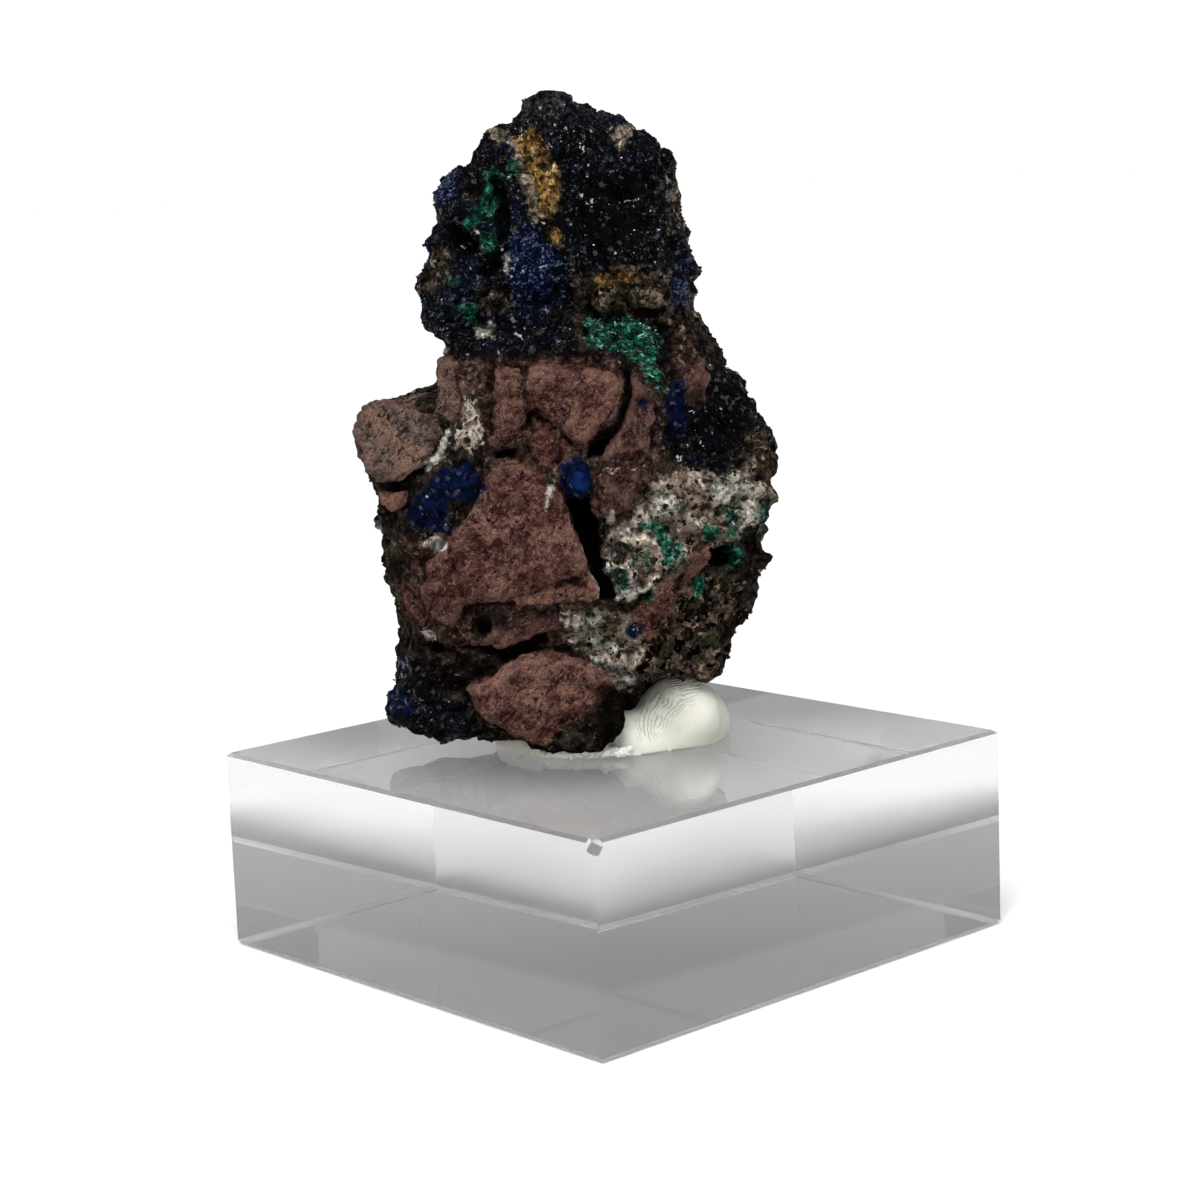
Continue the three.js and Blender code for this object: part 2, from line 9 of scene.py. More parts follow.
# %% Load the frame
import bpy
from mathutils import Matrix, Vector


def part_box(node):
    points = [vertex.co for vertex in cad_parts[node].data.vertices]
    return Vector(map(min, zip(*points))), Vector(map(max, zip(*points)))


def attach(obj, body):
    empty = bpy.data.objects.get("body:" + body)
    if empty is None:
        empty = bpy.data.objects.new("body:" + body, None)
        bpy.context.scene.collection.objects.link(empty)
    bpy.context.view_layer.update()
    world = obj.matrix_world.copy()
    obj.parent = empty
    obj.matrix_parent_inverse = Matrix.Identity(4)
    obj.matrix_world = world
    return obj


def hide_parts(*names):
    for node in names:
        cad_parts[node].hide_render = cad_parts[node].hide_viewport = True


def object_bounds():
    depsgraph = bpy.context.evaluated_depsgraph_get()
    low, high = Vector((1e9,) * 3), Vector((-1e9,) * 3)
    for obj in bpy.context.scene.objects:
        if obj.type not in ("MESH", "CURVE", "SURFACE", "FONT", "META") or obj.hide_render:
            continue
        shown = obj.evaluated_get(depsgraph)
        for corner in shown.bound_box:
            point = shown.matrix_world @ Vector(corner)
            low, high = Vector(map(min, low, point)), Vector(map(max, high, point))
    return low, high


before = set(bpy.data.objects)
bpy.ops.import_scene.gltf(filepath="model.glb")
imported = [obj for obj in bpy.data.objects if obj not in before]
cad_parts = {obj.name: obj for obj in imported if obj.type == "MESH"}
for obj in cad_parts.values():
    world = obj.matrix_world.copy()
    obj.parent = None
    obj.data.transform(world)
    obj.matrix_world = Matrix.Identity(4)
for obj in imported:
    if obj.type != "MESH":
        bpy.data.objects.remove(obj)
frame_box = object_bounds()
print("frame box", [[round(value, 4) for value in corner] for corner in frame_box])

# %% [markdown]
# The rock's own directions are easier to think in than the block's. Its broken face is flat, so u runs to
# the right along that face, v runs away from it into the rock, and w runs up. In the frame, that is a turn
# of -42.4 degrees about Z. Sizes on the rock are given in millimetres, because that is how a mineral is
# measured.

# %% Rock directions
import math
import random

import bmesh
import bpy
import numpy as np
from mathutils import Matrix, Vector, noise

MM = 0.001
FACE_TURN = math.radians(-42.4)
FACE_TO_FRAME = Matrix.Rotation(FACE_TURN, 3, "Z")
turn = np.array(FACE_TO_FRAME)


def to_face(points):
    """Frame metres to the rock's own u, v, w in millimetres."""
    return np.asarray(points) @ turn / MM


def from_face(points):
    """The rock's own u, v, w in millimetres to frame metres."""
    return np.asarray(points) @ turn.T * MM


low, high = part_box("rock_specimen")
print("rock size in mm", [round(value / MM, 1) for value in high - low])

# %% [markdown]
# The camera stands where the photograph was taken from. The block's seven visible corners fix its place,
# its aim and its lens: it is 26 cm from the block and looks down by less than ten degrees, which is why the
# block's near corner looks so large.

# %% Camera
CAMERA_PLACE = Vector((-174.87, -190.73, 78.21)) * MM
CAMERA_AIM = Vector((0.66525, 0.72776, -0.16676))
CAMERA_RIGHT = Vector((0.73309, -0.67902, -0.03887))
SENSOR_WIDTH = 36.0
LENS = 78.93

camera_data = bpy.data.cameras.new("camera")
camera_data.sensor_width = SENSOR_WIDTH
camera_data.lens = LENS
camera_data.clip_start = 0.01
camera_data.clip_end = 20.0
camera = bpy.data.objects.new("camera", camera_data)
bpy.context.scene.collection.objects.link(camera)
camera_up = CAMERA_RIGHT.cross(CAMERA_AIM).normalized()
camera_turn = Matrix((CAMERA_RIGHT, camera_up, -CAMERA_AIM)).transposed()
camera.matrix_world = Matrix.Translation(CAMERA_PLACE) @ camera_turn.to_4x4()
bpy.context.scene.camera = camera
print("camera is", round(CAMERA_PLACE.length, 3), "m from the block's foot")

# %% [markdown]
# A product photograph on white is lit by large soft sources. A sun with a very wide disc stands for the big
# soft box overhead, because it lights the pale floor evenly as far as the horizon. A small soft box at the
# left front adds the glints. The studio around is white at eye level and grey above, which gives the clear
# block and the black crystals something darker to reflect.

# %% Floor and light
SPECIMEN_MIDDLE = Vector((0, 0, 0.05))
FLOOR_RADIUS = 6.0
FLOOR_DROP = 0.0002
FLOOR_WHITE = (0.97, 0.97, 0.97, 1.0)


def link_piece(name, shape):
    """A mesh object at the origin, from a finished bmesh."""
    mesh = bpy.data.meshes.new(name)
    shape.to_mesh(mesh)
    shape.free()
    piece = bpy.data.objects.new(name, mesh)
    bpy.context.scene.collection.objects.link(piece)
    return piece


disc = bmesh.new()
bmesh.ops.create_circle(disc, cap_ends=True, segments=96, radius=FLOOR_RADIUS)
bmesh.ops.translate(disc, verts=disc.verts, vec=(0, 0, -FLOOR_DROP))
floor = link_piece("floor", disc)
paper = bpy.data.materials.new("floor_paper")
paper.use_nodes = True
paper_shader = paper.node_tree.nodes["Principled BSDF"]
paper_shader.inputs["Base Color"].default_value = FLOOR_WHITE
paper_shader.inputs["Roughness"].default_value = 0.7
floor.data.materials.append(paper)


def add_light(name, kind, place, power, **settings):
    """A light at a place, facing the specimen's middle."""
    data = bpy.data.lights.new(name, kind)
    data.energy = power
    for key, value in settings.items():
        setattr(data, key, value)
    light = bpy.data.objects.new(name, data)
    bpy.context.scene.collection.objects.link(light)
    aim = SPECIMEN_MIDDLE - Vector(place)
    light.rotation_euler = aim.to_track_quat("-Z", "Y").to_euler()
    light.location = place
    return light


add_light("overhead", "SUN", (-0.42, -0.40, 1.0), 3.1, angle=math.radians(32))
add_light("glint", "AREA", (-0.50, -0.30, 0.50), 0.5, shape="SQUARE", size=0.06)

HORIZON = (1.1, 1.1, 1.1, 1)
OVERHEAD = (0.26, 0.26, 0.27, 1)
HORIZON_RISE = 0.07
OVERHEAD_RISE = 0.30
STUDIO_STRENGTH = 0.95
world = bpy.data.worlds.new("studio")
bpy.context.scene.world = world
world.use_nodes = True
studio = world.node_tree
direction = studio.nodes.new("ShaderNodeTexCoord").outputs["Generated"]
rise = studio.nodes.new("ShaderNodeSeparateXYZ")
studio.links.new(direction, rise.inputs[0])
fall_off = studio.nodes.new("ShaderNodeValToRGB")
fall_off.color_ramp.elements[0].position = HORIZON_RISE
fall_off.color_ramp.elements[0].color = HORIZON
fall_off.color_ramp.elements[1].position = OVERHEAD_RISE
fall_off.color_ramp.elements[1].color = OVERHEAD
studio.links.new(rise.outputs["Z"], fall_off.inputs["Fac"])
studio.links.new(fall_off.outputs["Color"], studio.nodes["Background"].inputs["Color"])
studio.nodes["Background"].inputs["Strength"].default_value = STUDIO_STRENGTH
bpy.context.scene.view_settings.view_transform = "Standard"

# %% [markdown]
# A procedural finish is mostly arithmetic on masks and noise. Wired by hand it is hard to read, so a small
# class wraps a node's socket and lets Python's own signs add the Math nodes. A second class holds one
# material and has a single method for every other node.

# %% Shader arithmetic
class Signal:
    """A socket whose value varies over the surface."""

    def __init__(self, finish, socket):
        self.finish = finish
        self.socket = socket

    def math(self, operation, first, second):
        return self.finish.node("ShaderNodeMath", {"operation": operation}, {0: first, 1: second})

    def __add__(self, other):
        return self.math("ADD", self, other)

    def __radd__(self, other):
        return self.math("ADD", other, self)

    def __sub__(self, other):
        return self.math("SUBTRACT", self, other)

    def __rsub__(self, other):
        return self.math("SUBTRACT", other, self)

    def __mul__(self, other):
        return self.math("MULTIPLY", self, other)

    def __rmul__(self, other):
        return self.math("MULTIPLY", other, self)

    def __or__(self, other):
        return self.math("MAXIMUM", self, other)


class Finish:
    """One material, with a method for its nodes."""

    def __init__(self, name):
        self.material = bpy.data.materials.new(name)
        self.material.use_nodes = True
        self.tree = self.material.node_tree
        self.shader = self.tree.nodes["Principled BSDF"]
        self.place = self.node("ShaderNodeTexCoord", output="Object")
        self.on_face = self.node(
            "ShaderNodeMapping", None, {"Vector": self.place, "Rotation": (0, 0, -FACE_TURN)}
        )

    def node(self, kind, settings=None, inputs=None, output=0):
        made = self.tree.nodes.new(kind)
        for key, value in (settings or {}).items():
            if key == "stops":
                self.set_stops(made.color_ramp, value)
            else:
                setattr(made, key, value)
        for key, value in (inputs or {}).items():
            self.feed(made.inputs[key], value)
        return Signal(self, made.outputs[output])

    def feed(self, socket, value):
        if isinstance(value, Signal):
            self.tree.links.new(value.socket, socket)
        else:
            socket.default_value = (*value, 1) if socket.type == "RGBA" else value

    def set_stops(self, ramp, stops):
        while len(ramp.elements) < len(stops):
            ramp.elements.new(1.0)
        for element, (position, colour) in zip(ramp.elements, stops):
            element.position = position
            element.color = colour

    def mix(self, factor, first, second, blend="MIX"):
        """A colour between two colours."""
        settings = {"data_type": "RGBA", "blend_type": blend}
        return self.node("ShaderNodeMix", settings, {0: factor, 6: first, 7: second}, output=2)

    def layered(self, colour, layers):
        """A colour, covered by each layer's colour in turn as far as its signal says."""
        for share, cover in layers:
            colour = self.mix(share, colour, cover)
        return colour

    def vector(self, operation, *vectors, output=0):
        """Vector arithmetic."""
        return self.node("ShaderNodeVectorMath", {"operation": operation}, dict(enumerate(vectors)), output)

    def height(self):
        return self.node("ShaderNodeSeparateXYZ", None, {0: self.place}, 2)

    def grain(self, size, detail=3.0, roughness=0.55, offset=0.0, twist=0.0):
        """Soft noise whose lumps are about this many millimetres across, and may be twisted."""
        moved = self.vector("ADD", self.place, (offset,) * 3)
        inputs = {"Vector": moved, "Scale": 1 / (size * MM), "Detail": detail, "Roughness": roughness}
        return self.node("ShaderNodeTexNoise", None, inputs | {"Distortion": twist})

    def fibres(self, size, lean, stretch, offset=0.0):
        """Noise drawn out along the rock's face, leaning from level by an angle."""
        leant = self.node(
            "ShaderNodeVectorRotate", {"rotation_type": "Y_AXIS"}, {"Vector": self.on_face, "Angle": lean}
        )
        moved = self.vector("ADD", self.vector("MULTIPLY", leant, stretch), (offset,) * 3)
        inputs = {"Vector": moved, "Scale": 1 / (size * MM), "Detail": 5.0, "Roughness": 0.68}
        return self.node("ShaderNodeTexNoise", None, inputs | {"Distortion": 0.9})

    def lines(self, value, width):
        """1 along the thin lines where a noise crosses its middle."""
        return self.ramp((value - 0.5) | (0.5 - value), width, width * 0.3)

    def cells(self, size, warp):
        """The distance to the middle of cells about this many millimetres wide, with warped walls."""
        inputs = {"Vector": self.place, "Scale": 0.8 / (size * MM), "Detail": 3.0}
        bend = self.node("ShaderNodeTexNoise", None, inputs, 1)
        bent = self.vector("MULTIPLY_ADD", bend, (warp * size * MM,) * 3, self.place)
        return self.node("ShaderNodeTexVoronoi", None, {"Vector": bent, "Scale": 1 / (size * MM)})

    def cell_number(self, cells):
        """A number of its own for each cell."""
        colour = Signal(self, cells.socket.node.outputs["Color"])
        return self.node("ShaderNodeSeparateColor", None, {0: colour})

    def ramp(self, value, start, end):
        """0 below start, 1 above end, and smooth between them."""
        inputs = {"Value": value, "From Min": start, "From Max": end}
        return self.node("ShaderNodeMapRange", {"interpolation_type": "SMOOTHSTEP"}, inputs)

    def attribute(self, name):
        settings = {"attribute_type": "GEOMETRY", "attribute_name": name}
        return self.node("ShaderNodeAttribute", settings, output="Fac")

    def bump(self, height, distance, strength=1.0):
        """A normal from a height of 0 to 1 that stands for this many millimetres."""
        inputs = {"Height": height, "Distance": distance * MM, "Strength": strength}
        return self.node("ShaderNodeBump", None, inputs)

    def build(self, **sockets):
        """Sets the shader's own sockets, by name with _ for each space."""
        for name, value in sockets.items():
            self.feed(self.shader.inputs[name.replace("_", " ")], value)
        return self.material


print("shader arithmetic is ready")

# %% [markdown]
# What grew where is drawn as outlines on the broken face. Each corner is written as its u and w in
# millimetres, and a semicolon ends an outline. Each clast also has a tone, from dark to pale. For each
# point of the rock the script measures how far it lies inside an outline, and keeps that distance as an
# attribute. A finish can then fray the border with noise, which a hard-edged mask couldn't do.

# %% Outlines of what grew where
CLASTS = {
    "top": (0.55, "-6.4 58.8, -1.9 58.7, 1.7 57.9, 2.6 56.6, 1.5 53.9, -1.1 50.9, -2.6 51.4, -6.3 54.6"),
    "strip": (0.5, "-9.8 59, -7 58.8, -7 54.8, -6.5 53.2, -8.8 51, -9.9 52"),
    "wedge": (0.42, "-6.4 52.7, -5 52.9, -3.2 51.2, -3.5 49.3, -5.2 48.7, -6.8 50"),
    "right": (0.2, "3.6 57.5, 5.3 56.2, 5.9 54.5, 5 49.6, -0.4 48.9, -0.2 50.4, 1.4 52.2, 2.6 54.7"),
    "lump": (0.12, "4.6 49.2, 3.2 44.4, 1.2 43.2, -0.2 44.4, -0.7 47.6, 0.2 48.8"),
    "great": (0.68, "-11.7 48, -8.1 49.9, -5.2 48, -3.3 46.3, -1.6 41, -0.1 36.6, -0.5 35.8, -9.2 35.6, "
        "-12.9 36, -13.6 40.8, -14.7 42.7, -12.4 45.2"),
    "sliver": (0.45, "-17.7 40.4, -15.9 42.7, -14.2 42.8, -12.8 40.6, -12.2 36, -12.8 34.4, -15.5 34, "
        "-16.9 36.7"),
    "knob": (1, "-22.9 55.4, -20.5 56, -17.5 55.3, -15.2 54.5, -14.8 52.6, -16.2 49.9, -18.8 48, "
        "-21.6 47.6, -23.2 50.4, -23.8 53"),
    "under_knob": (0.6, "-21.4 47.2, -18.4 47.4, -18.4 45.7, -20.2 44.7, -21.4 46"),
    "foot": (0.75, "-14 27.9, -11.1 29.4, -8.2 30.9, -5.9 31.3, -3 30.8, -0.3 29.3, 1.4 28, 0.2 27.2, "
        "-1.6 26, -4.2 24.4, -6.6 22.2, -9.4 22.8, -12.4 24.8, -13.5 26.4"),
    "ledge": (0.28, "-10.9 35, -5.7 35.2, -3.4 34.5, -4.2 33.1, -7.5 31.9, -9.9 31, -12.8 31.5"),
    "chip": (0.5, "-19.6 38.2, -17.5 37, -16.5 34.1, -18.4 34, -19.6 35.6"),
    "vein": (0.52, "2.4 33.9, 4.3 31.7, 6 33.6, 7.2 35.9, 10.6 38.9, 10.5 40.8, 8.4 40.2, 5.4 37, 3.4 35.2"),
    "shoulder": (0.3, "8.7 57.6, 10.6 58.8, 11.2 56.4, 10.2 53.6, 8.8 54.2"),
    "neck": (0.9, "-15.2 59.4, -13.4 60.2, -12.6 56.6, -13.4 53.6, -15.4 54.8"),
}
GROWTHS = {
    "druse": """
        -16.5 62.6, -18 68, -17 77.5, -12 82, -4 86.5, 4 84, 10 79, 11.5 70, 11 64, 5.6 66.6, 2.6 66, -1.4 67,
        -2 59.8, -12 59.6; 6.6 54.9, 9.9 53.8, 11.2 58.6, 14.4 57, 16.6 52.7, 17.4 49.6, 13.5 47.9, 9.7 47.4,
        6.7 49.8; -24 27, -20 28.6, -15 26.2, -13 23, -15 20, -24 20; -21 30, -18.4 30.6, -17.6 27,
        -21.6 26.6; 5 62.2, 7.4 62.2, 8 58.4, 6 57.6
    """,
    "azurite": """
        -15.2 49.2, -12.4 49.9, -10.8 47.6, -11.8 45.8, -14.2 46.2, -15 44.2, -14.2 42.9, -18.1 43.5,
        -18.9 44.9, -17 47.2; -3.4 49.3, -1.6 49.6, -0.9 47.1, -1.4 46, -2.9 46, -3.8 47.5; -7.8 71,
        -5.6 72.2, -3.6 69.4, -2.5 68.3, -2.8 64.7, -4.6 63.5, -7.4 64.2, -7.9 68.2; 6.6 55.5, 8 57, 8.6 54.6,
        8.2 51, 6.6 51.4; 1.8 33.2, 3.6 33.4, 3.6 31.8, 2 31.8; -16 77, -13 77.4, -12.6 75, -16.4 73.6;
        7.4 66, 10 67, 10 63.4, 8 63; -22.6 26.6, -20 27.4, -18.6 25, -20.6 23.4; -21.6 31, -20 31.2,
        -19.6 28, -21.6 28; 3.6 55, 5.4 55.6, 5 54.2
    """,
    "malachite": """
        -1.4 62.6, 2.6 62.9, 5.2 62, 6.3 60.4, 6 58.2, 6.4 54.9, 5 55.6, 4.4 57.8, 1.5 59.7, -0.6 60.3;
        -10 77, -8.6 77.2, -8 75.2, -8.2 73.4, -9.6 72.6, -11 72, -12.4 71, -12.4 72.2, -11 73.4, -10 74.8;
        -10.6 71, -9 71.2, -8.9 69.6, -10.4 69.4; -7.6 77.6, -6.4 78.2, -6.6 76.4, -7.4 76.2; -14.2 67.2,
        -12.4 66.8, -12.6 65.8, -14 66; -12.6 65.2, -11.4 65.4, -11.2 62.8, -12.4 62.8; 3.6 43.6, 6.2 43.2,
        6.8 41.6, 8.2 40, 7.8 38.2, 6.2 38.6, 5.8 40.6, 4 41.8; 2.2 41, 4.4 40.6, 4.6 39, 3 38.9; 9.6 42.8,
        11.4 42.6, 11.6 41, 9.8 41; 11.8 44.4, 13.4 44.2, 13.6 41.4, 12.2 41.2; 15 44.2, 16.4 43.8, 16.4 42.2,
        15.2 42.2; 11.4 40.6, 13.6 40.6, 13.8 38, 12 38; 0.4 39, 2.4 38.8, 2.6 36.4, 1 36.4; 8.4 37.2, 10 37,
        9.8 35.6, 8.6 35.6; 3.6 36.4, 4.8 36.4, 4.8 35.2, 3.8 35.2
    """,
    "quartz": """
        3.8 45.4, 5.8 47.6, 8.7 48.3, 11.6 47.4, 13.4 47.8, 15.4 46.8, 16.6 45, 16.4 43.6, 13.3 41.1,
        9.4 39.9, 6.8 37.8, 4.4 35.6, 1.3 35.7, -0.3 39.7, 0.8 42.8; -3 34.6, -1 35.2, 3 34, 4 31, 2.6 28.4,
        2.2 26.8, 0.8 28.8, -3.4 31.4; -12.4 55.4, -11.4 55.8, -10.9 52.4, -12 50.8, -13.6 51.4, -13 54.2;
        -17.4 42.6, -15.4 42.9, -14.8 41.4, -16.4 40.8
    """,
    "ochre": """
        -6.4 80.3, -4.9 80.8, -3.7 79.3, -3.6 77.9, -2.7 76.2, -2.6 74.2, -3.5 72.3, -4.6 72.6, -4.6 74.6,
        -5.6 76.8, -5.9 78.3, -6.5 79.1; -4 71.2, -2.9 71, -2.9 69.9, -3.6 70.2; 0.2 66.4, 2.6 67.2, 4.8 66.4,
        3.2 66, 1 65.6
    """,
    # The cracks below are sunk into the rock, and the finish paints them nearly black as shade.
    "gloom": """
        -3 46, -1 46.2, -0.6 43.4, 0.1 39.6, 1.1 36, 0 36, -1.3 39.8, -2.4 43.2; 1.9 53.4, 2.9 57.2, 2.4 58.2,
        3.3 58, 3.4 55.6, 2.3 52.6, 0.2 50, -1.2 49.6, -0.9 50.8; 10.6 40.2, 12.2 40.1, 12 38.9, 11 38.8;
        -13 31, -9.6 30.6, -5.4 31.9, -5.8 32.6, -10 31.4, -14.6 31.8; -9.8 50.6, -7.6 51, -8 50.2, -9.6 49.9;
        -9.6 77, -8 76.6, -7.6 71, -9 69.6, -9 73.6; -13.6 72.4, -11.6 71.6, -10.4 69.2, -13.2 69.6;
        -12.7 34.4, -11.2 34.4, -10.9 33.4, -11.6 32.8, -12.6 33.2
    """,
    "earth": """
        -22 41, -18.6 42.4, -17.4 40.6, -18.6 35, -21 33.6; 3.4 32.6, 8 36.6, 13 38, 14.6 34, 12.4 26, 4 25,
        2 29; -1.6 66.4, 3.8 68, 10 66, 11 60.6, 8.4 59, 7 62.4, 1 63.4, -1.6 64; 7.6 76, 9 75.6, 9.8 70.4,
        8 70, 7.4 73; -17.4 69.4, -13.6 69.6, -13.2 66.4, -17.4 65.6; -10.8 66, -8 65.4, -8.6 63.6,
        -10.8 63.4; 12.6 48.8, 15.6 52.4, 17.8 49.8, 18.6 46.4, 16.8 45.2, 15.4 46.6, 13 47.2
    """,
    "rust": """
        -16.4 60, -10 59.6, 5.6 59.4, 6.6 54, 5.4 47.6, 0.2 43.4, -2.2 46.2, -1.6 36, -3.2 31.6, -14 31.2,
        -19.6 33.6, -20.6 41, -18.6 42.4, -14.6 42.6, -11 46.2, -10.6 50.4, -13 53; 7.4 60.4, 9.6 60.8,
        11 57.4, 9.6 53.6, 8 55
    """,
    "pale": """
        -4.6 47.9, -4.2 47.8, -4.7 46.2, -5.3 45, -5.2 46.2; -1.9 41.4, -1.5 41.2, 0.2 36.4, -0.4 36.3;
        -4.6 35, -3.4 34.8, -3.3 33.8, -4 33.6; -11.6 62.2, -9.8 62.4, -9.6 61.4, -11 61.2; -17.6 33.6,
        -16.4 33.4, -16.4 32.6, -17.4 32.6; -16.8 42.4, -15.6 42.6, -14.9 41.6, -16.4 41.2; -8.6 68.8,
        -7.4 69.4, -7.2 67.8, -8.2 67.4; 0.4 44, 1.2 44.6, 1.4 43.4, 0.6 43.2; -14.6 52.8, -14 53, -15 50.2,
        -16.6 48.8, -16.8 49.2, -15.4 50.8; -1.2 30.4, 0.8 29.4, 2.2 27.4, 1.8 27.2, 0.2 28.8, -1.4 29.8;
        11.6 46.2, 13.6 46.6, 15.2 45.2, 15.2 43.8, 13.2 43.4, 11.8 44.6; 1.8 38, 2.8 38.2, 2.8 37, 2 36.9;
        0.6 37.2, 3.4 37.4, 4.2 36, 1.4 35.8
    """,
    # The patches below are painted nearly black in the finish: painted shade, such as the band under the
    # malachite ledge.
    "dim": """
        -21 28.4, -15.4 29.4, -13.8 27, -18 26.4; -8 21.6, -1.8 23.9, 1.2 25.8, 2 26.8, 2.6 25, -1.4 21.6,
        -5 20; -2.4 28, 0.6 28.2, 2.3 27.3, 1.6 25, 0 23.6, -1.8 25.4, -1.2 26.6; 3.6 45.4, 5 46.6, 6.4 46,
        5 44.8; 0.4 38.6, 1.6 39.2, 1.8 37.2, 0.8 36.6; -0.2 41.6, 1.4 42.6, 2 40.6, 1 39.6; 3 38.6, 4.4 38.2,
        4 36.8, 2.8 37.2; 1.4 40.8, 2.6 41.8, 3.6 40.6, 2.4 39.8; 7.4 45.6, 8.8 45.8, 8.4 43.4, 7.2 43.8;
        -12.6 33.6, -9 33.4, -8.2 34.6, -12 35.2; -21 40.8, -18.6 40.6, -18.8 38, -21.4 38; 9 55.6, 14 56,
        16 51, 10 49.4, 8.6 52; -0.4 76.6, 4.6 76, 5 69.4, 0.8 68.8, -1.2 71.4; 5.4 61.8, 7 61.8, 7.4 59.4,
        6 59.2; -14 60.4, -6 60.2, 2.5 59.6, 4.2 57.6, 3.4 57.4, 1.8 58.8, -6 59.2, -14 59.4
    """,
    "rim": """
        -7.3 80.2, -6.3 79.6, -5.9 77.2, -4.8 74.8, -4.7 72.4, -5.3 72, -6.3 75, -7.1 77.8; -9 81, -7.8 81.2,
        -7.6 80, -8.8 79.8; 10 44.6, 11.6 44.2, 11.8 42.4, 10.6 42, 9.8 43.2; 2.8 79.6, 3.6 79.6, 4.2 78.4,
        3.4 78.2; 6.8 75.6, 7.6 75.2, 7.4 74.4, 6.8 74.6
    """,
}


def corners_of(written):
    """A written outline's corners, as an array."""
    return np.array([corner.split() for corner in written.split(",")], float)


clasts = {name: corners_of(written) for name, (_, written) in CLASTS.items()}
growths = {name: [corners_of(part) for part in written.split(";")] for name, written in GROWTHS.items()}


def depth_inside(points, corners):
    """How far each (u, w) point lies inside an outline, in millimetres; negative outside it."""
    nearest = np.full(len(points), np.inf)
    inside = np.zeros(len(points), bool)
    for start, end in zip(corners, np.roll(corners, -1, axis=0)):
        edge = end - start
        offset = points - start
        share = np.clip(offset @ edge / (edge @ edge), 0, 1)
        nearest = np.minimum(nearest, np.linalg.norm(offset - share[:, None] * edge, axis=1))
        crosses = (start[1] > points[:, 1]) != (end[1] > points[:, 1])
        rise = end[1] - start[1] if end[1] != start[1] else 1e-9
        inside ^= crosses & (points[:, 0] < start[0] + edge[0] * (points[:, 1] - start[1]) / rise)
    return np.where(inside, nearest, -nearest)


def deepest(points, outlines):
    """The same for several outlines: the deepest of them."""
    return np.max([depth_inside(points, outline) for outline in outlines], axis=0)


print("outlines", len(clasts), "clasts and", sum(len(outlines) for outlines in growths.values()), "growths")

# %% [markdown]
# The rock's solid has the right lumps, ledges and clasts, but its faces are two millimetres wide. A voxel
# remesh skins a merged copy with even quads a third of a millimetre wide, fine enough to carry broken
# stone. Sculpting then comes from code: each vertex is moved along its normal by noise that depends on what
# grew there.

# %% Skin the rock
SKIN_VOXEL = 0.36 * MM


def merged_copy(node, name):
    """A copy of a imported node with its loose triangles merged."""
    shape = bmesh.new()
    shape.from_mesh(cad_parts[node].data)
    bmesh.ops.remove_doubles(shape, verts=shape.verts, dist=1e-6)
    return link_piece(name, shape)


def remeshed(piece, voxel):
    """The piece, skinned evenly by a voxel remesh that is applied at once."""
    remesh = piece.modifiers.new("skin", "REMESH")
    remesh.mode = "VOXEL"
    remesh.voxel_size = voxel
    graph = bpy.context.evaluated_depsgraph_get()
    skinned = bpy.data.meshes.new_from_object(piece.evaluated_get(graph))
    piece.modifiers.clear()
    piece.data = skinned
    return piece


def places(mesh):
    """Vertex places in metres, as an array."""
    flat = np.empty(len(mesh.vertices) * 3)
    mesh.vertices.foreach_get("co", flat)
    return flat.reshape(-1, 3)


def normals(mesh):
    """Vertex normals, as an array."""
    flat = np.empty(len(mesh.vertices) * 3)
    mesh.vertex_normals.foreach_get("vector", flat)
    return flat.reshape(-1, 3)


def set_places(mesh, points):
    mesh.vertices.foreach_set("co", np.asarray(points, np.float32).ravel())
    mesh.update()


rock = remeshed(merged_copy("rock_specimen", "rock"), SKIN_VOXEL)
for polygon in rock.data.polygons:
    polygon.use_smooth = True
print("rock skin", len(rock.data.vertices), "vertices")

# %% [markdown]
# The masks are worked out once, on the skin's vertices. On the broken face they come from the outlines.
# Round the back nothing was seen, so there the same kinds of stone are laid out by cells of 3D noise: cells
# nine millimetres wide are clasts, and patches of blue and green follow a slower noise.

# %% Measure what grew where
FACE_DEPTH = 3.0
FACE_DEPTH_CHANGE = 4.5
SIDE_WARP = 3.5
BACK_CLAST_SIZE = 9.0
BACK_CLASTS_TOP = 58.0
BACK_CRUST_FOOT = 60.0
NOT_BEHIND = -3.0
MASK_REACH = 4.0


def soft_noise(points, size, offset=0.0):
    """Noise from -1 to 1 for each point, with lumps of this many millimetres."""
    shift = Vector((offset, offset * 1.7, offset * 0.6))
    return np.array([noise.noise(Vector(point) / size + shift) for point in points])


def cell_noise(points, size, offset=0.0):
    """For each point: how far its cell's middle is, and the next one's, and a number for the cell."""
    shift = Vector((offset, offset * 1.7, offset * 0.6))
    result = np.empty((len(points), 3))
    for i, point in enumerate(points):
        distances, middles = noise.voronoi(Vector(point) / size + shift)
        result[i] = distances[0], distances[1], noise.cell(middles[0] * 7.31)
    return result


def ease(values, start, end):
    """0 below start, 1 above end, and smooth between them."""
    share = np.clip((values - start) / (end - start), 0, 1)
    return share * share * (3 - 2 * share)


